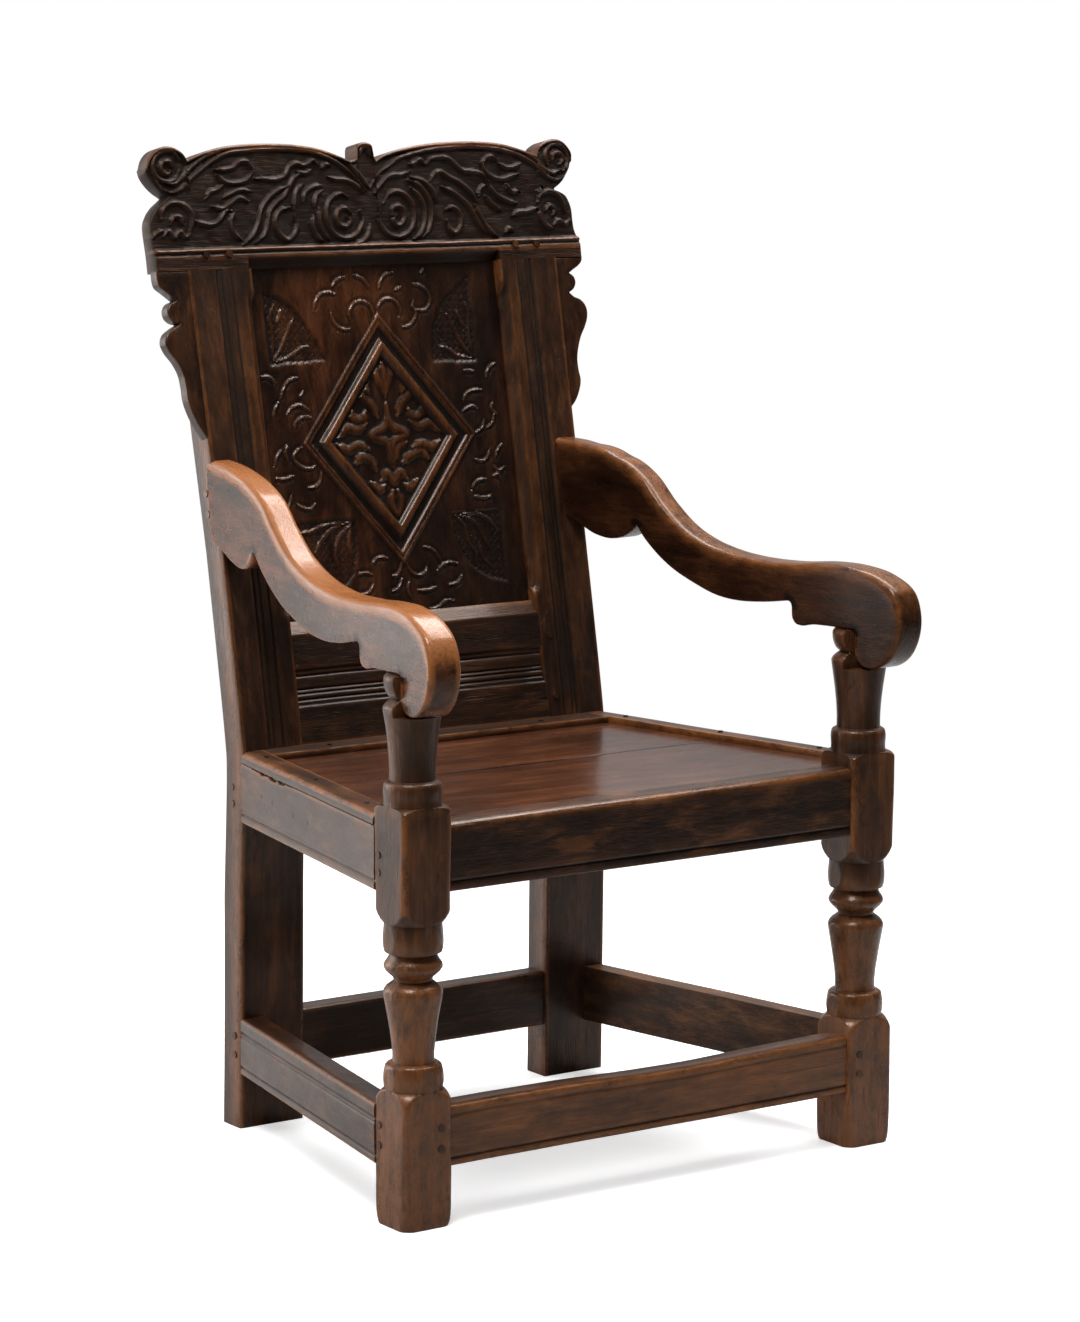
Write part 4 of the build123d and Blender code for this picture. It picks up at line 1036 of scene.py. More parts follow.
class CHAIR_OT_seat(bpy.types.Operator):
    """Add the seat boards and the strips round them"""

    bl_idname = "chair.seat"
    bl_label = "Seat"

    def execute(self, context):
        front = float(node_box("seat_board_front")[0][1]) + 7.0
        joint = float(node_box("seat_board_rear")[0][1])
        back = KNEE_Y + 4.0

        def board(name, node, start, end, cup):
            across = np.linspace(-1, 1, 151)
            along = np.linspace(start, end, 70)

            # The board is dished by a parabola across, with slow waves along.
            def face(u, y):
                dish = cup * (1 - u**2) + 0.5 * np.sin(y / 37.0) * (1 - u**2)
                return dish + arris(y - start, 0.7) + arris(end - y, 0.7)

            # Old wax in the joint, and painted shade under the lath at the back.
            def zones(u, y):
                # The second term is painted shade under the lath.
                return 0 * y, groove(y, joint, 3.2, 0.8) + 0.5 * ease(y, back - 30, back - 22)

            # The ends follow the splay of the strips.
            def place(u, y, depth):
                half = side_point(y, STRIP_WIDTH + 2.0, 0.0)[..., 0]
                return np.stack([u * half, y, SEAT_TOP - depth], -1)

            add_member(
                name, across, along, face, 16.0, place, oak_of("seat_oak"), [node], edge_wear=0.15,
                zones=zones,
            )

        board("seat_board_front_worn", "seat_board_front", front, joint - 0.1, 1.0)
        board("seat_board_rear_worn", "seat_board_rear", joint, back, 0.7)

        low, high = node_box("seat_edging_right")
        bottom, top = float(low[2]), float(high[2])
        across = np.linspace(0.0, STRIP_WIDTH, 40)
        along = np.linspace(LEG_BACK - 3.0, KNEE_Y + 8.0, 90)

        # The strip is rounded wide towards the outside and little towards the seat.
        def strip_face(inset, y):
            return arris(inset, 9.0) * 0.8 + arris(STRIP_WIDTH - inset, 2.0)

        def strip_place(inset, y, depth):
            return side_point(y, inset, top - depth)

        for mirrored, side in ((False, "right"), (True, "left")):
            add_member(
                f"seat_edging_{side}_worn", across, along, strip_face, top - bottom, strip_place,
                oak_of("edging_oak"), [f"seat_edging_{side}"], mirrored,
            )

        low, high = node_box("seat_edging_back")
        lath = np.linspace(float(low[1]), float(high[1]) + 2.0, 40)
        across = np.linspace(-1, 1, 80)

        # The lath is plain, with an arris in front, and its ends follow the splay.
        def lath_face(y, u):
            return arris(y - lath[0], 2.0)

        # The lath's front arris is rubbed, and its rear is dark with old wax.
        def lath_zones(y, u):
            return 0.2 * ease(6.0 - (y - lath[0]), 0, 3), 0.5 * ease(y - lath[0], 3, 8)

        def lath_place(y, u, depth):
            half = side_point(y, STRIP_WIDTH, 0.0)[..., 0]
            return np.stack([u * half, y, float(high[2]) - depth], -1)

        add_member(
            "seat_edging_back_worn", lath, across, lath_face, 7.5, lath_place, oak_of("frame_oak_x"),
            ["seat_edging_back"], zones=lath_zones,
        )
        return {"FINISHED"}


# ---------------------------------------------------------------- carving
def stroke_distance(x, s, line):
    """Distance of every place from a line of short straight steps, and how far along it the
    nearest place is."""
    best = np.full(x.shape, 1e9)
    where = np.zeros(x.shape)
    reach = 9.0
    low, high = line.min(0) - reach, line.max(0) + reach
    near = (x > low[0]) & (x < high[0]) & (s > low[1]) & (s < high[1])
    px, ps = x[near][:, None], s[near][:, None]
    if px.size == 0:
        return best, where
    a, b = line[:-1], line[1:]
    d = b - a
    length = np.maximum((d**2).sum(1), 1e-9)
    t = np.clip(((px - a[:, 0]) * d[:, 0] + (ps - a[:, 1]) * d[:, 1]) / length, 0, 1)
    gap = np.hypot(px - a[:, 0] - t * d[:, 0], ps - a[:, 1] - t * d[:, 1])
    pick = gap.argmin(1)
    best[near] = gap[np.arange(len(pick)), pick]
    where[near] = (pick + t[np.arange(len(pick)), pick]) / len(a)
    return best, where


def ridge(height, x, s, points, width, tall):
    """Raise a steep ridge along a smooth line, that thins towards its ends."""
    gap, where = stroke_distance(x, s, smooth_line(points, 2.0))
    half = width * 0.5 * np.clip(np.minimum(where, 1 - where) * 7, 0.4, 1)
    return np.maximum(height, tall * np.clip(1 - gap / half, 0, 1) ** 0.6)


# Outlines of the crest rail: each half of its top from the middle outwards, as points across and
# up the slope, and each end upwards, as points up the slope and across.
CREST_TOP_RIGHT = (
    [(-2, 718), (5, 717.5), (10, 715), (11.5, 710)],
    [(11.5, 710), (12, 700), (14, 696.5)],
    [
        (14, 696.5), (24, 702), (40, 707), (60, 711), (95, 715.5), (135, 717), (170, 716), (200, 712.5),
        (225, 706), (247, 699),
    ],
    [
        (247, 699), (249, 707), (257, 713.5), (266, 717), (275, 718), (285, 716), (293, 709), (298, 700),
        (299, 693),
    ],
)
CREST_TOP_LEFT = (
    [(2, 718), (-4, 717.5), (-9, 715), (-11, 709)],
    [(-11, 709), (-12, 700), (-21, 696)],
    [
        (-21, 696), (-36, 702), (-60, 710), (-95, 716), (-135, 718), (-170, 717.2), (-205, 713),
        (-225, 708), (-243, 701),
    ],
    [
        (-243, 701), (-247, 708), (-255, 714), (-266, 717), (-275, 716), (-285, 711.5), (-292, 704),
        (-297, 692),
    ],
)
CREST_SIDE_RIGHT = [
    (572, 298), (594, 297.5), (606, 293.5), (618, 292.5), (630, 292.5), (640, 290), (648, 285.5),
    (653, 277), (656, 270), (661, 277), (667, 284.5), (674, 290), (684, 296.5), (693, 299),
]
CREST_SIDE_LEFT = [
    (572, 298), (594, 298), (606, 298.5), (618, 299), (630, 298), (640, 293), (648, 286), (654, 278),
    (658, 272), (663, 279), (669, 286), (676, 292), (684, 296.5), (692, 298),
]


def ring_line(centre, radius, start, end):
    """Points of a circle's arc between two angles, in degrees."""
    angle = np.radians(np.linspace(start, end, 10))
    return np.stack([centre[0] + radius * np.cos(angle), centre[1] + radius * np.sin(angle)], -1)


# Ridges of the crest rail's carving, as points across and up the slope.
CREST_RIDGES = (
    # rims under the left top edge, down to the middle
    [
        (-286, 678), (-277, 666), (-265, 663), (-252, 668), (-240, 678), (-225, 688), (-205, 700),
        (-188, 707), (-165, 709.5), (-135, 711), (-100, 710), (-70, 706), (-48, 698), (-30, 687),
        (-14, 672), (-3, 659),
    ],
    [(-277, 675), (-262, 673), (-250, 680), (-238, 691), (-224, 700), (-205, 708), (-188, 712)],
    [(-22, 691), (-10, 678), (1, 664)],
    # left leaves and stems
    [(-206, 688), (-195, 688), (-182, 690), (-172, 697), (-163, 697), (-157, 690)],
    [(-204, 682), (-195, 674), (-180, 672), (-166, 675), (-157, 683)],
    [(-222, 655), (-217, 662), (-209, 664), (-198, 670)],
    [(-216, 646), (-202, 643), (-189, 649), (-178, 655), (-165, 650)],
    [(-200, 655), (-188, 660), (-176, 664), (-162, 662)],
    [
        (-155, 677), (-140, 676), (-122, 676), (-112, 680), (-105, 690), (-96, 694), (-86, 691), (-80, 693),
        (-73, 697), (-66, 691),
    ],
    [(-62, 687), (-55, 692), (-50, 690)],
    [(-96, 684), (-84, 682), (-76, 686)],
    [(-108, 668), (-125, 662), (-140, 652), (-150, 640), (-155, 625), (-163, 612), (-179, 600)],
    [
        (-86, 683), (-99, 678), (-107, 668), (-116, 656), (-128, 648), (-138, 638), (-142, 626),
        (-148, 612), (-161, 602),
    ],
    [(-90, 669), (-98, 662), (-103, 650), (-105, 640)],
    [(-92, 648), (-87, 659), (-77, 665), (-64, 667)],
    [(-77, 642), (-73, 654), (-65, 661)],
    [
        (-110, 642), (-124, 639), (-132, 626), (-128, 611), (-118, 604), (-108, 610), (-103, 622),
        (-105, 632),
    ],
    [(-54, 677), (-44, 674), (-30, 673), (-18, 668), (-8, 659)],
    [(-240, 630), (-230, 626), (-215, 625), (-205, 631), (-197, 640), (-190, 640)],
    [(-186, 640), (-192, 626), (-188, 612), (-180, 606)],
    # left volute
    [
        (-29, 652), (-38, 657), (-50, 653), (-59, 642), (-61, 628), (-56, 613), (-44, 605), (-30, 605),
        (-18, 612), (-12, 624), (-14, 636),
    ],
    [(-27, 633), (-35, 640), (-44, 637), (-48, 629), (-44, 620), (-35, 618), (-29, 624), (-34, 630)],
    [(-70, 640), (-71, 625), (-67, 611), (-60, 602)],
    [(-80, 632), (-81, 618), (-76, 606), (-70, 601)],
    [(-28, 597), (-14, 600), (-5, 609), (-2, 620)],
    # left rosette and its ear
    [(-284, 632), (-280, 644), (-268, 651), (-253, 649), (-244, 640), (-243, 628), (-248, 617)],
    [(-272, 626), (-267, 635), (-258, 634), (-256, 626)],
    [(-298, 612), (-291, 617), (-284, 620)],
    [(-284, 612), (-276, 619), (-268, 611), (-261, 618), (-254, 611), (-247, 616)],
    [
        (-252, 700), (-260, 710), (-271, 711), (-283, 704), (-288, 692), (-284, 681), (-273, 676),
        (-260, 678), (-253, 688),
    ],
    [(-262, 692), (-266, 699), (-274, 698), (-277, 690), (-270, 684), (-264, 688)],
    # rims under the right top edge
    [
        (2, 662), (10, 672), (20, 682), (33, 689), (46, 697), (64, 702), (90, 707), (125, 710), (160, 710),
        (195, 706), (220, 699), (240, 689), (252, 679), (262, 671), (273, 668), (285, 673), (291, 682),
    ],
    [(8, 656), (20, 668), (32, 677), (48, 678), (62, 682)],
    [(226, 704), (243, 694), (255, 682), (268, 676), (281, 680)],
    # right leaves and stems
    [(88, 669), (95, 677), (104, 681), (115, 675), (130, 668), (141, 660), (149, 650), (153, 643)],
    [(62, 690), (70, 692), (77, 696), (83, 690)],
    [
        (86, 690), (92, 696), (102, 698), (117, 697), (127, 689), (136, 682), (151, 680), (164, 677),
        (173, 667),
    ],
    [(104, 663), (116, 658), (128, 650), (138, 642), (146, 630), (152, 618), (161, 606)],
    [(150, 640), (155, 628), (162, 615), (170, 606), (178, 600)],
    [(107, 635), (116, 638), (124, 634), (128, 622), (124, 611), (116, 607), (109, 613), (107, 622)],
    [(167, 688), (172, 695), (180, 698), (187, 693)],
    [(190, 689), (200, 684), (212, 684), (223, 689)],
    [(165, 690), (170, 679), (181, 672), (196, 670), (206, 673), (218, 676)],
    [(172, 664), (180, 653), (194, 645), (211, 640)],
    [(157, 650), (160, 659), (167, 663)],
    [(166, 650), (175, 640), (186, 632)],
    [(199, 663), (205, 654), (216, 655)],
    [(202, 625), (210, 629), (225, 630), (241, 634)],
    [(190, 605), (196, 610), (200, 606)],
    # right volute
    [
        (20, 644), (27, 654), (38, 658), (51, 654), (60, 644), (62, 630), (57, 614), (46, 606), (33, 604),
        (20, 609), (12, 622), (13, 636),
    ],
    [(30, 629), (32, 638), (39, 641), (46, 637), (48, 628), (43, 619), (35, 618), (31, 624), (36, 630)],
    [(60, 662), (71, 652), (77, 638), (76, 622), (69, 608), (58, 601)],
    [(58, 671), (71, 666), (82, 654), (87, 640), (86, 625), (80, 611), (71, 603)],
    [(62, 675), (80, 669), (92, 657), (96, 645)],
    # right rosette and its ear
    [(242, 640), (248, 650), (259, 654), (271, 650), (279, 640), (281, 628)],
    [(243, 632), (245, 620), (251, 612), (260, 608)],
    [(252, 630), (259, 636), (266, 631), (262, 624)],
    [(262, 612), (270, 618), (279, 613), (286, 618)],
    [(262, 686), (261, 699), (270, 710), (283, 710), (292, 700), (292, 687), (284, 678)],
    [(270, 692), (274, 700), (282, 700), (286, 692), (280, 686)],
    # bud
    [(-6, 702), (-2, 711), (5, 711), (8, 702)],
)


def joined(runs, turned=1):
    """One line of all the runs, with rising first coordinate."""
    line = np.concatenate([smooth_line(run, 1.2) for run in runs]) * (turned, 1)
    return np.maximum.accumulate(line[:, 0]), line[:, 1]


def crest_warp(u, v):
    """Place on the face for shares across and up: the height runs between foot and top line
    at that x, and the width between the end lines at that height. Both are settled by
    going round a few times."""
    top_right, top_left = joined(CREST_TOP_RIGHT), joined(CREST_TOP_LEFT, -1)
    side_right, side_left = smooth_line(CREST_SIDE_RIGHT, 1.5), smooth_line(CREST_SIDE_LEFT, 1.5)
    x = u * CREST_HALF
    for _ in range(5):
        top = np.where(x >= 0, np.interp(x, *top_right), np.interp(-x, *top_left))
        s = BACK_LENGTH + v * (top - 0.6 - BACK_LENGTH)
        right = np.interp(s, side_right[:, 0], side_right[:, 1])
        left = np.interp(s, side_left[:, 0], side_left[:, 1])
        x = u * np.where(u >= 0, right, left)
    return x, s


class CHAIR_OT_crest(bpy.types.Operator):
    """Add the carved crest rail"""

    bl_idname = "chair.crest"
    bl_label = "Crest rail"

    def execute(self, context):
        across = np.linspace(0, 1, 136)
        along = np.linspace(-1, 1, 490)
        ground = millimetres("carving_depth")
        width = millimetres("ridge_width")

        # The ground is sunk within a plain rim and tooled in slow waves, and the ridges stand up
        # from it. Below it run a raised thread, a scratched line and a chamfer over the panel.
        def face(v, u):
            x, s = crest_warp(u, v)
            height = np.zeros_like(x)
            for points in CREST_RIDGES:
                height = ridge(height, x, s, points, width, 1.0)
            sunk = ease(s, 595.5, 599) * ease((1 - v) * CREST_HEIGHT, 3.0, 6.0)
            tooled = 0.35 * ripple(np.stack([x, s, 0 * s], -1), 26.0, 8)
            depth = 1.0 + (ground + tooled) * (1 - height) * sunk
            depth = depth - groove(s, 594.5, 2.2, 1.0) + groove(s, 590.5, 3.0, 1.8)
            depth = depth + np.clip(585.0 - s, 0, 13) * 0.95 * (np.abs(x) < STILE_IN + 3)
            return depth + arris((1 - v) * CREST_HEIGHT * 0.9, 3.0) + arris((1 - np.abs(u)) * 290, 3.0)

        # Bare wood along the tops of the arches and the band, and a painted highlight along the thread; old
        # wax in the ground, and painted shade on the lowest band and under the thread.
        def zones(v, u):
            x, s = crest_warp(u, v)
            sunk = ease(s, 597, 600) * ease((1 - v) * CREST_HEIGHT, 4.0, 8.0)
            top = ease((1 - v) * CREST_HEIGHT, 11.0, 7.0) * (np.abs(x) > 40) * (np.abs(x) < 215)
            band = ease(s, 582, 584) * ease(589 - s, 0, 2) * ease(x, -190, -60) * 0.7
            # The thread's bare wood is a painted highlight along its top.
            thread_highlight = groove(s, 595.0, 2.6, 0.9)
            # Old wax in the sunk ground; below 583 mm up the slope, on the lowest band and its chamfer over
            # the panel, painted shade; in the scratched line under the thread, a painted shadow.
            dark = 0.65 * sunk + 0.6 * (s < 583) + 0.5 * ((s > 589) & (s < 592.5))
            return 0.9 * top + band + thread_highlight, dark

        def place(v, u, depth):
            x, s = crest_warp(u, v)
            return back_point(x, s, depth)

        # The ear on the left is thinner than the rest.
        thick = CREST_THICK - 0.5 - 5.0 * ease(-along, 0.84, 0.88)
        add_member(
            "crest_rail_carved", across, along, face, thick, place, oak_of("carved_oak"), ["crest_rail"],
            edge_wear=0.45, zones=zones,
        )
        return {"FINISHED"}


# ---------------------------------------------------------------- back panel
# The diamond: the height of its middle up the back, half its width and height, how far in from
# its edge the middle lies, and where the channel, the crown of its frame and the field of leaves
# come, also from its edge.
PANEL_MIDDLE = 365.0
DIAMOND_HALF = (120.0, 148.0)
DIAMOND_REACH = 93.2
CHANNEL = (8.5, 18.0)
CROWN = (19.5, 27.0)
FIELD = 33.0

# Gouged lines of the panel outside its diamond, and the carved leaves within it.
PANEL_LINES = (
    ring_line((-22, 513), 17, -20, 215), ring_line((17, 516), 16, -35, 185),
    ring_line((-45, 516), 19, 165, 290),
    [(53, 528), (51, 521), (55, 514), (52, 506), (44, 499), (33, 497)],
    [(49, 547), (61, 547), (71, 542), (77, 532), (75, 522), (66, 516), (55, 517)],
    [(-88, 520), (-84, 531), (-76, 540), (-64, 542), (-54, 539)],
    [(5, 541), (9, 552), (18, 561), (28, 563)],
    [(-6, 543), (-14, 555), (-28, 562)], [(-40, 560), (-52, 556), (-60, 548)], [(28, 541), (37, 545)],
    [(66, 560), (73, 566)],
    [(-146, 417), (-141, 429), (-132, 440), (-118, 444)], [(-158, 397), (-154, 408), (-148, 416)],
    [(-140, 400), (-131, 409), (-119, 411), (-108, 404)],
    [(-131, 382), (-127, 392), (-117, 397), (-106, 396)],
    [(-122, 362), (-131, 358), (-136, 350), (-128, 340), (-115, 336), (-106, 340)],
    [(-100, 333), (-102, 322), (-110, 315), (-121, 314)],
    [(-140, 297), (-131, 291), (-120, 289), (-113, 295)],
    [(-143, 308), (-148, 296), (-158, 288), (-166, 290)],
    [(-169, 446), (-158, 446), (-150, 438)], [(-166, 328), (-152, 326), (-139, 329)],
    [(-163, 340), (-158, 353), (-150, 361)],
    [(-142, 366), (-146, 356), (-144, 346)], [(-119, 420), (-113, 428)],
    [(109, 402), (113, 412), (124, 417), (137, 417)], [(105, 391), (113, 396), (123, 398), (129, 393)],
    [(122, 366), (131, 370), (137, 382)], [(138, 370), (147, 376), (152, 389)],
    [(115, 335), (125, 331), (134, 334), (140, 345)],
    [(108, 296), (112, 304), (120, 309), (130, 309)], [(110, 290), (122, 287), (137, 289)],
    [(145, 428), (148, 440), (158, 448)],
    [(113, 441), (122, 441), (130, 439)], [(142, 325), (149, 318), (158, 322)],
    [(152, 402), (148, 394), (155, 386)],
    [(160, 448), (152, 444), (146, 436)], [(158, 350), (150, 342), (146, 332)],
    [(140, 312), (148, 314), (152, 306)],
    [(-45, 216), (-40, 223), (-30, 226), (-22, 224)], [(-20, 202), (-11, 203), (-5, 210), (-2, 219)],
    [(5, 216), (9, 206), (18, 201), (29, 204), (34, 213)],
    [(46, 203), (53, 210), (64, 213), (78, 210)], [(58, 187), (69, 187), (77, 191), (82, 199)],
    [(-66, 208), (-54, 209), (-45, 206)],
    [(-21, 184), (-12, 187), (-4, 198)], [(15, 183), (27, 182), (42, 185)],
    [(30, 160), (42, 161), (54, 168), (66, 167)],
    [(30, 234), (42, 230), (50, 221), (54, 211)], [(-44, 196), (-52, 186), (-64, 184)],
    [(6, 196), (2, 184), (8, 172)],
)
PANEL_LEAVES = (
    [(0, 401), (4, 378), (20, 369), (4, 361), (0, 340), (-4, 361), (-20, 369), (-4, 378), (0, 401)],
    [(-14, 442), (-8, 430), (0, 418), (8, 430), (14, 442)], [(0, 442), (0, 425), (0, 408)],
    [(-34, 414), (-26, 408), (-18, 400), (-12, 388)], [(34, 414), (26, 408), (18, 400), (12, 388)],
    [(-46, 398), (-40, 388), (-30, 386), (-26, 394)], [(46, 398), (40, 388), (30, 386), (26, 394)],
    [(-62, 370), (-50, 378), (-36, 376), (-26, 382)], [(62, 370), (50, 378), (36, 376), (26, 382)],
    [(-64, 362), (-50, 356), (-38, 360), (-26, 356)], [(60, 360), (50, 354), (38, 358), (26, 355)],
    [(-44, 342), (-36, 348), (-26, 344), (-20, 334)], [(44, 342), (36, 350), (22, 346), (12, 340)],
    [(2, 341), (8, 355), (20, 361)], [(-16, 322), (-8, 330), (0, 322), (8, 330), (16, 322)],
    [(-28, 322), (-20, 314), (-12, 318)], [(28, 322), (20, 314), (12, 318)],
    [(-3, 312), (-6, 298), (0, 288), (5, 298), (3, 312)],
    [(-20, 428), (-24, 420), (-20, 412)], [(20, 428), (24, 420), (20, 412)],
)
SPANDREL_LEAVES = (
    [(-150, 466), (-146, 492), (-147, 516), (-140, 530)],
    [(-148, 464), (-134, 482), (-124, 500), (-116, 512)],
    [(-146, 463), (-126, 468), (-108, 478), (-98, 480)], [(-140, 508), (-134, 516), (-132, 524)],
    [(132, 458), (128, 484), (130, 508), (124, 530)], [(130, 457), (116, 474), (106, 494), (100, 510)],
    [(128, 456), (108, 460), (92, 470), (82, 472)], [(122, 496), (116, 504), (114, 514)],
    [(-66, 268), (-84, 254), (-92, 236), (-90, 216)], [(-70, 270), (-92, 264), (-110, 250), (-120, 236)],
    [(-76, 271), (-104, 268), (-126, 262), (-140, 262)], [(-68, 262), (-72, 246), (-70, 230)],
    [(82, 268), (94, 252), (96, 236), (106, 220)], [(86, 269), (108, 258), (118, 240), (126, 224)],
    [(90, 270), (114, 268), (130, 258), (140, 244)], [(112, 232), (114, 216), (124, 204)],
)

# Height of the diamond's frame by the distance in from its edge.
DIAMOND = (
    [-1.5, 0.0, 2.2, 3.4, 5.2, 7.4, 9.2, 17.0, 20.0, 22.0, 25.0, 27.0, 30.2, 33.0],
    [0.0, 1.8, 1.8, 0.2, 1.2, 1.0, -1.6, -1.8, 3.2, 4.2, 4.4, 4.0, -0.8, -1.6],
)

# Sunk and punched quarter rounds at the corners of the panel.
SPANDRELS = (
    [(-155, 459), (-155, 545), (-140, 541), (-122, 531), (-108, 516), (-97, 500), (-86, 482), (-78, 462)],
    [(136, 452), (134, 556), (126, 551), (113, 542), (97, 531), (84, 514), (77, 497), (73, 478), (72, 454)],
    [
        (-156, 275), (-61, 273), (-60, 256), (-62, 240), (-65, 224), (-70, 209), (-76, 200), (-83, 196),
        (-156, 196),
    ],
    [(146, 273), (75, 272), (76, 250), (81, 231), (89, 215), (100, 203), (118, 192), (147, 184)],
)


def inside(x, s, corners):
    """Whether places lie inside a closed outline, by the number of its sides to their right."""
    result = np.zeros(x.shape, bool)
    line = np.array(corners, float)
    for (x1, s1), (x2, s2) in zip(line, np.roll(line, -1, 0)):
        crosses = (s1 > s) != (s2 > s)
        result ^= crosses & (x < (x2 - x1) * (s - s1) / (s2 - s1 + 1e-12) + x1)
    return result


class CHAIR_OT_panel(bpy.types.Operator):
    """Add the carved back panel"""

    bl_idname = "chair.panel"
    bl_label = "Back panel"

    def execute(self, context):
        across = np.linspace(-178, 178, 265)
        along = np.linspace(152, 579, 262)
        highest = 5.0

        # What lies at each place: the distance in from the diamond's edge, the gouged lines, the
        # leaves within it, the sunk quarter rounds and the leaves in those.
        def relief(x, s):
            half_x, half_s = DIAMOND_HALF
            edge = (1 - np.abs(x) / half_x - np.abs(s - PANEL_MIDDLE) / half_s) * DIAMOND_REACH
            lines = np.zeros_like(x)
            for points in PANEL_LINES:
                lines = ridge(lines, x, s, points, millimetres("cut_width"), 1.0)
            leaves = np.zeros_like(x)
            for points in PANEL_LEAVES:
                fuller = (np.array(points, float) - (0, PANEL_MIDDLE)) * 1.17 + (0, PANEL_MIDDLE)
                leaves = ridge(leaves, x, s, fuller, millimetres("leaf_width"), 1.0)
            sunk = np.zeros(x.shape, bool)
            for corners in SPANDRELS:
                sunk |= inside(x, s, corners)
            motif = np.zeros_like(x)
            for points in SPANDREL_LEAVES:
                motif = ridge(motif, x, s, points, 5.0, 1.0)
            return edge, lines, leaves, sunk, motif

        # The lines stand up between two small hollows, the quarter rounds are sunk and punched
        # all over, the diamond's frame follows its profile, and slow waves are left by the plane.
        def face(x, s):
            edge, lines, leaves, sunk, motif = relief(x, s)
            bowl = box_mean(sunk.astype(float), 1, 1, None)
            punched = np.sin(x * 1.45 + 1.7 * np.sin(s * 0.83)) * np.sin(s * 1.6 + 1.5 * np.sin(x * 0.71))
            high = 1.5 * lines - 0.5 * (box_mean(lines, 3, 3, None) > 0.08) * (lines < 0.1)
            high = high - bowl * (2.0 + 0.7 * punched) * (1 - 0.9 * motif)
            high = np.where(edge > DIAMOND[0][0], np.interp(edge, *DIAMOND), high)
            high = np.where(edge > FIELD, DIAMOND[1][-1] + 2.6 * leaves, high)
            tool = 0.2 * np.sin(x / 9.0 + 0.8 * np.sin(s / 31.0))
            return highest - high + tool

        # Bare wood on the crown of the frame and the leaves, and on the lines, where it is partly a
        # painted highlight; old wax in the channel and in the ground of the leaves; darker towards the
        # foot, the right and the left end, and a painted shadow along the top under the crest rail.
        def zones(x, s):
            edge, lines, leaves, sunk, motif = relief(x, s)
            glow = np.exp(-((x + 10) / 100.0) ** 2 - ((s - 520) / 60.0) ** 2)
            crown = (edge > CROWN[0]) & (edge < CROWN[1])
            channel = (edge > CHANNEL[0]) & (edge < CHANNEL[1])
            field = edge > FIELD
            # On the lines the bare wood is partly a painted highlight; glow is a lighter patch at the top
            # middle.
            worn_and_highlit = 0.5 * crown + 0.9 * lines + 0.3 * leaves * field + 0.2 * glow
            # Darker towards the right, the left end and the foot outside the diamond, plus a painted shadow
            # along the top of the panel under the crest rail.
            deep = 0.5 * ease(x, -40, 120) + 0.3 * ease(-x, 90, 170) + 0.3 * ease(340 - s, 0, 160)
            deep = deep * (edge < 0) + 0.4 * ease(s, 548, 570)
            dark = deep + 0.6 * channel + 0.35 * (1 - leaves) ** 2 * field + 0.1 * sunk * (1 - motif)
            return worn_and_highlit, dark

        def place(x, s, depth):
            return back_point(x, s, PANEL_RECESS - highest + depth)

        add_member(
            "back_panel_carved", across, along, face, 15.5, place, oak_of("panel_oak"), ["back_panel"],
            zones=zones,
        )

        across = np.linspace(14.0, 159.0, 148)
        along = np.linspace(-STILE_IN - 3.0, STILE_IN + 3.0, 120)

        # Six scratched lines round a sunk band, and a sill that slopes back under the panel.
        def rail_face(s, x):
            lines = sum(groove(s, at, 2.8, 1.7) for at in (101.0, 95.0, 79.0, 74.0, 67.0, 61.0))
            step = 1.4 * ease(s, 61, 63) * (1 - ease(s, 99, 101))
            sill = np.clip(s - 143.0, 0, None) * 0.55
            return lines + step + sill + arris(s - 14.0, 2.0)

        # The sill is a little rubbed, and the mouldings below it are dark with old wax.
        def rail_zones(s, x):
            sill = ease(s, 141, 146)
            return 0.25 * sill, 0.5 * (1 - sill)

        def rail_place(s, x, depth):
            return back_point(x, s, depth)

        add_member(
            "lower_back_rail_moulded", across, along, rail_face, 30.0, rail_place, oak_of("frame_oak_x"),
            ["lower_back_rail"], zones=rail_zones,
        )
        return {"FINISHED"}


# ---------------------------------------------------------------- brackets under the ears
# Outlines of the brackets, in runs that meet in corners.
BRACKET_RIGHT = [
    [(255, 572), (298.5, 572)],
    [(298.5, 572), (297, 566), (292, 561), (285, 557), (277, 552.5)],
    [(277, 552.5), (283, 548), (285, 541.6), (281, 533), (274, 529)],
    [
        (274, 529), (280, 524), (289, 520), (294.6, 514.7), (297.5, 507), (297, 499), (292, 487),
        (285, 476), (279, 462), (275.5, 448), (275.5, 434), (277, 422), (274, 411), (264, 394), (259, 389),
    ],
    [(259, 389), (255, 392)],
    [(255, 392), (255, 572)],
]
BRACKET_LEFT = [
    [(255, 572), (298.5, 572)],
    [(298.5, 572), (298.5, 562), (297, 555), (288, 547), (277, 538)],
    [(277, 538), (286, 534), (290, 527), (289, 519), (283, 513), (276, 511)],
    [
        (276, 511), (286, 506), (294.5, 500), (298, 491), (295, 481), (286, 468), (280, 455), (278, 440),
        (277.5, 423), (275, 412), (268, 394), (259, 378),
    ],
    [(259, 378), (255, 382)],
    [(255, 382), (255, 572)],
]


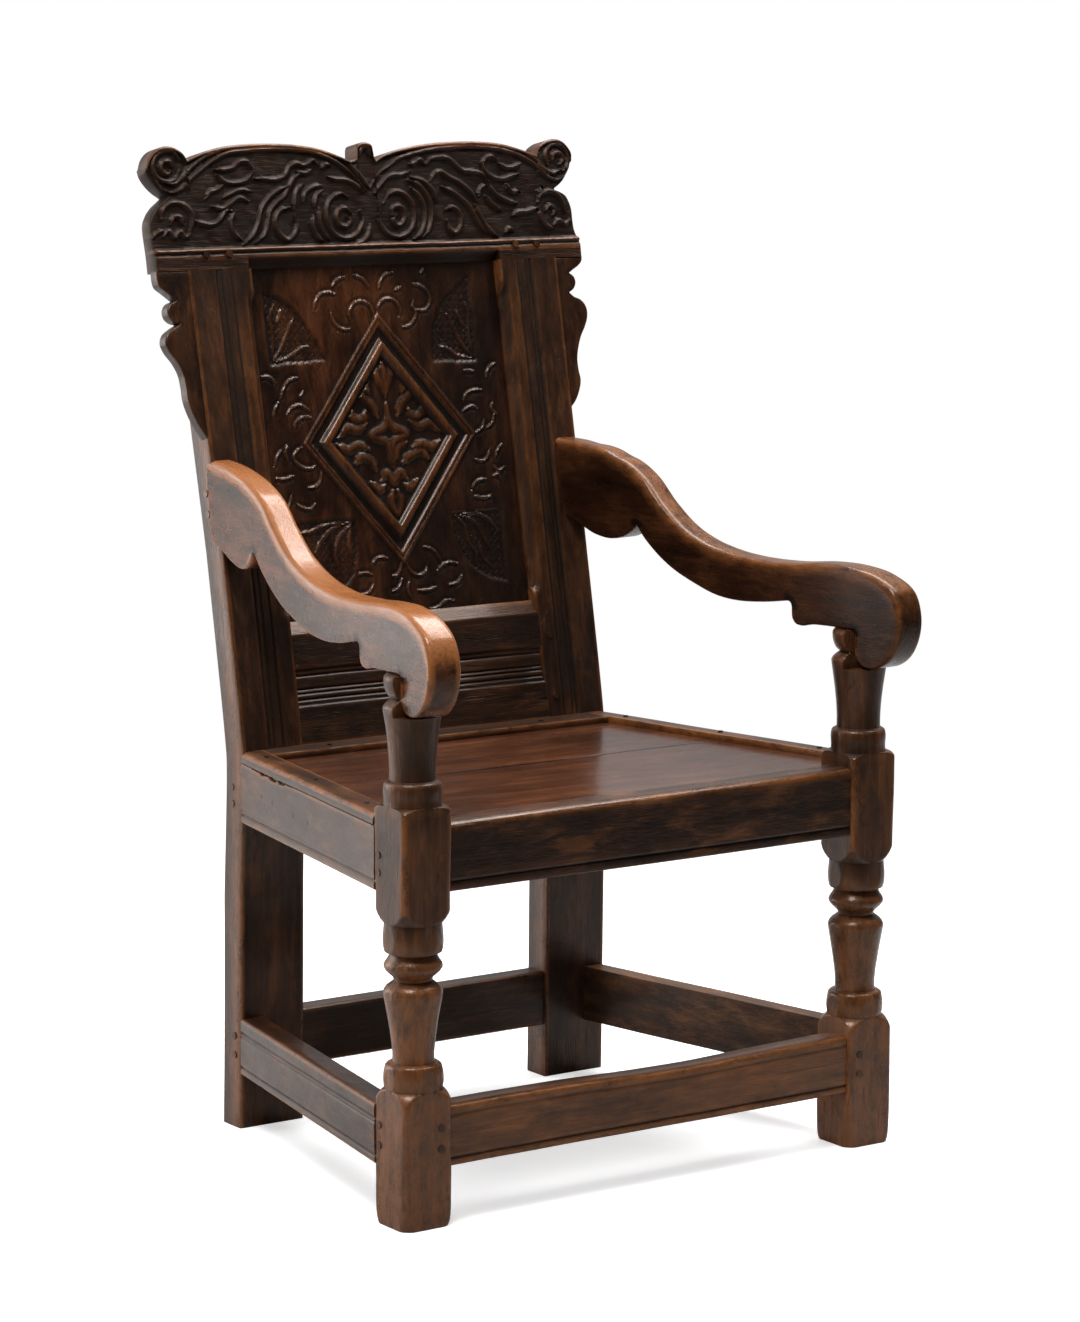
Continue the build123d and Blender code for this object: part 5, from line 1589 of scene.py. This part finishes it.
class CHAIR_OT_brackets(bpy.types.Operator):
    """Add the shaped brackets under the ears of the crest rail"""

    bl_idname = "chair.brackets"
    bl_label = "Brackets"

    def execute(self, context):
        # The arrises are rounded, except along the stile, where the bracket lies close.
        def radius(inward):
            return 2.4 - 2.0 * (inward[:, 0] > 0.7)

        # Both faces are flat, 17 mm apart and a little behind the face of the back.
        def faces(along):
            return np.full_like(along, -1.5), np.full_like(along, -18.5)

        # In the plane of the back, and forward with the stile where that has warped.
        def beside(bow):
            def place(x, s, out):
                points = back_point(x, s, -out)
                points[..., 1] -= np.interp(points[..., 2], *bow)
                return points

            return place

        sides = ((False, "right", BRACKET_RIGHT, STRAIGHT), (True, "left", BRACKET_LEFT, WARPED))
        for mirrored, side, runs, bow in sides:
            line = closed_line(runs, 1.6)
            place = beside(bow)
            add_plate(
                f"ear_bracket_{side}_sawn", line, radius, faces, place, oak_of("bracket_oak"),
                [f"ear_bracket_{side}"], mirrored, edge_wear=0.3,
            )
        return {"FINISHED"}


class CHAIR_OT_fasteners(bpy.types.Operator):
    """Give the pegs and nails their finish"""

    bl_idname = "chair.fasteners"
    bl_label = "Pegs and nails"

    def execute(self, context):
        # The pegs of both arms take the near arm's lit copy of the oak.
        pegs = {"leg": oak_of("leg_oak"), "arm": oak_of("arm_oak")}
        nails = iron()
        for name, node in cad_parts.items():
            if node.hide_render:
                continue
            node.data.materials.clear()
            if name.endswith("nails"):
                finish = nails
            else:
                finish = pegs.get(name[:3], oak_of("frame_oak_z"))
            node.data.materials.append(finish)
        return {"FINISHED"}


# ---------------------------------------------------------------- studio
# Lengths of the studio are in metres. The floor lies a hair under the feet.
FLOOR_HALF = 9.0
FLOOR_HEIGHT = -0.0005

# Name of each light, its place, what it faces, its size and the setting that holds its power.
LAMPS = (
    ("side_light", (-2.3, 2.7, 1.1), (0, 0, 0.5), (2.4, 2.2), "side"),
    ("top_light", (0.95, 0.35, 2.9), (0, 0, 0.6), (2.4, 1.3), "top"),
    ("key_light", (-1.5, -0.95, 3.7), (0, 0, 0.6), (1.4, 1.4), "key"),
)
CAMERA_LENS = 113.0
CAMERA_DISTANCE = 4.7014
CAMERA_TARGET = (0.0, -0.058, 0.55888)
CAMERA_ANGLES = (-34.8, 8.7, 0.16)  # turn round the chair, height and roll, in degrees


class CHAIR_OT_stage(bpy.types.Operator):
    """Add the pale floor, the soft lights and the camera"""

    bl_idname = "chair.stage"
    bl_label = "Studio"

    def execute(self, context):
        settings = context.scene.chair_stage
        mesh = bpy.data.meshes.new("floor")
        signs = ((-1, -1), (1, -1), (1, 1), (-1, 1))
        corners = [(x * FLOOR_HALF, y * FLOOR_HALF, FLOOR_HEIGHT) for x, y in signs]
        mesh.from_pydata(corners, [], [(0, 1, 2, 3)])
        floor = bpy.data.objects.new("floor", mesh)
        context.scene.collection.objects.link(floor)
        material = bpy.data.materials.new("floor_paint")
        sheet = NodeSheet(material)
        # The camera sees an even white; all else sees a floor that is dark where no sheet hangs.
        seen = sheet.add("ShaderNodeLightPath").outputs["Is Camera Ray"]
        spot = sheet.add("ShaderNodeTexCoord").outputs["Object"]
        across, depth = sheet.add("ShaderNodeSeparateXYZ", {0: spot}).outputs[:2]
        lit = sheet.times(sheet.spread(depth, -2.3, 0.8), sheet.spread(across, -3.0, -2.1))
        shade = sheet.mix(lit, (0.03, 0.03, 0.03, 1), (0.75, 0.75, 0.75, 1))
        away = sheet.add("ShaderNodeVectorMath", {0: spot}, operation="LENGTH").outputs["Value"]
        far = sheet.spread(away, 0.9, 2.4)
        paper = sheet.mix(far, (0.9, 0.9, 0.9, 1), (0, 0, 0, 1))
        matt = sheet.add("ShaderNodeBsdfDiffuse", {"Color": sheet.mix(seen, shade, paper)})
        lift = sheet.plus(sheet.times(far, 1 - settings.floor), settings.floor)
        strength = sheet.times(seen, lift)
        glow = sheet.add("ShaderNodeEmission", {"Color": (1, 1, 1, 1), "Strength": strength})
        both = sheet.add("ShaderNodeAddShader", {0: matt.outputs[0], 1: glow.outputs[0]})
        sheet.add("ShaderNodeOutputMaterial", {"Surface": both.outputs[0]})
        mesh.materials.append(material)

        # White to the camera; to all else a dim room with a bright sheet behind and on the left.
        world = bpy.data.worlds.new("studio")
        context.scene.world = world
        sheet = NodeSheet(world)
        path = sheet.add("ShaderNodeLightPath").outputs["Is Camera Ray"]
        way = sheet.add("ShaderNodeTexCoord").outputs["Generated"]
        parts = sheet.add("ShaderNodeSeparateXYZ", {0: way}).outputs
        rear = sheet.spread(parts[1], 0.0, 0.6)
        left = sheet.spread(parts[0], 0.5, -0.3)
        left = sheet.times(left, sheet.spread(parts[0], -0.85, -0.62))
        sweep = sheet.times(rear, sheet.plus(sheet.times(left, 0.7), 0.5))
        strength = sheet.plus(sheet.times(sweep, settings.backdrop), settings.fill)
        soft = sheet.add("ShaderNodeBackground", {"Color": (1, 1, 1, 1), "Strength": strength})
        white = sheet.add("ShaderNodeBackground", {"Color": (1, 1, 1, 1), "Strength": 1.0})
        choice = sheet.add("ShaderNodeMixShader", {0: path, 1: soft.outputs[0], 2: white.outputs[0]})
        sheet.add("ShaderNodeOutputWorld", {"Surface": choice.outputs[0]})

        for name, place, target, size, power in LAMPS:
            data = bpy.data.lights.new(name, "AREA")
            data.shape = "RECTANGLE"
            data.size, data.size_y = size
            data.energy = getattr(settings, power)
            light = bpy.data.objects.new(name, data)
            context.scene.collection.objects.link(light)
            light.location = place
            way = np.array(target) - np.array(place)
            light.rotation_euler = Vector(way).to_track_quat("-Z", "Y").to_euler()

        data = bpy.data.cameras.new("camera")
        data.lens = CAMERA_LENS
        data.sensor_width = 36.0
        data.sensor_fit = "AUTO"
        data.clip_end = 60.0
        camera = bpy.data.objects.new("camera", data)
        context.scene.collection.objects.link(camera)
        context.scene.camera = camera
        azimuth, elevation, roll = (math.radians(angle) for angle in CAMERA_ANGLES)
        flat = math.cos(elevation)
        away = np.array([math.sin(azimuth) * flat, -math.cos(azimuth) * flat, math.sin(elevation)])
        camera.location = np.array(CAMERA_TARGET) + away * CAMERA_DISTANCE
        look = Vector(-away).to_track_quat("-Z", "Y").to_matrix() @ Matrix.Rotation(roll, 3, "Z")
        camera.rotation_euler = look.to_euler()
        context.scene.view_settings.view_transform = "Standard"
        return {"FINISHED"}


STEPS = (
    CHAIR_OT_front_legs,
    CHAIR_OT_arms,
    CHAIR_OT_stiles,
    CHAIR_OT_rails,
    CHAIR_OT_seat,
    CHAIR_OT_crest,
    CHAIR_OT_panel,
    CHAIR_OT_brackets,
    CHAIR_OT_fasteners,
    CHAIR_OT_stage,
)


class CHAIR_PT_steps(bpy.types.Panel):
    """Lists the steps, and the colours, sizes and lights"""

    bl_idname = "CHAIR_PT_steps"
    bl_label = "Panel-back armchair"
    bl_space_type = "VIEW_3D"
    bl_region_type = "UI"
    bl_category = "Chair"

    def draw(self, context):
        for step in STEPS:
            self.layout.operator(step.bl_idname)
        for name in ChairColours.__annotations__:
            self.layout.prop(context.scene.chair_colours, name)
        for name in ChairSizes.__annotations__:
            self.layout.prop(context.scene.chair_sizes, name)
        for name in StageSettings.__annotations__:
            self.layout.prop(context.scene.chair_stage, name)


CLASSES = (ChairColours, ChairSizes, StageSettings, *STEPS, CHAIR_PT_steps)


def register():
    """Make the classes and the settings known."""
    for cls in CLASSES:
        bpy.utils.register_class(cls)
    bpy.types.Scene.chair_colours = PointerProperty(type=ChairColours)
    bpy.types.Scene.chair_sizes = PointerProperty(type=ChairSizes)
    bpy.types.Scene.chair_stage = PointerProperty(type=StageSettings)


def unregister():
    """Take them away again."""
    del bpy.types.Scene.chair_stage
    del bpy.types.Scene.chair_sizes
    del bpy.types.Scene.chair_colours
    for cls in reversed(CLASSES):
        bpy.utils.unregister_class(cls)


def main():
    """Build the chair and the studio."""
    register()
    bpy.ops.chair.front_legs()
    bpy.ops.chair.arms()
    bpy.ops.chair.stiles()
    bpy.ops.chair.rails()
    bpy.ops.chair.seat()
    bpy.ops.chair.crest()
    bpy.ops.chair.panel()
    bpy.ops.chair.brackets()
    bpy.ops.chair.fasteners()
    bpy.ops.chair.stage()


if __name__ == "__main__":
    main()
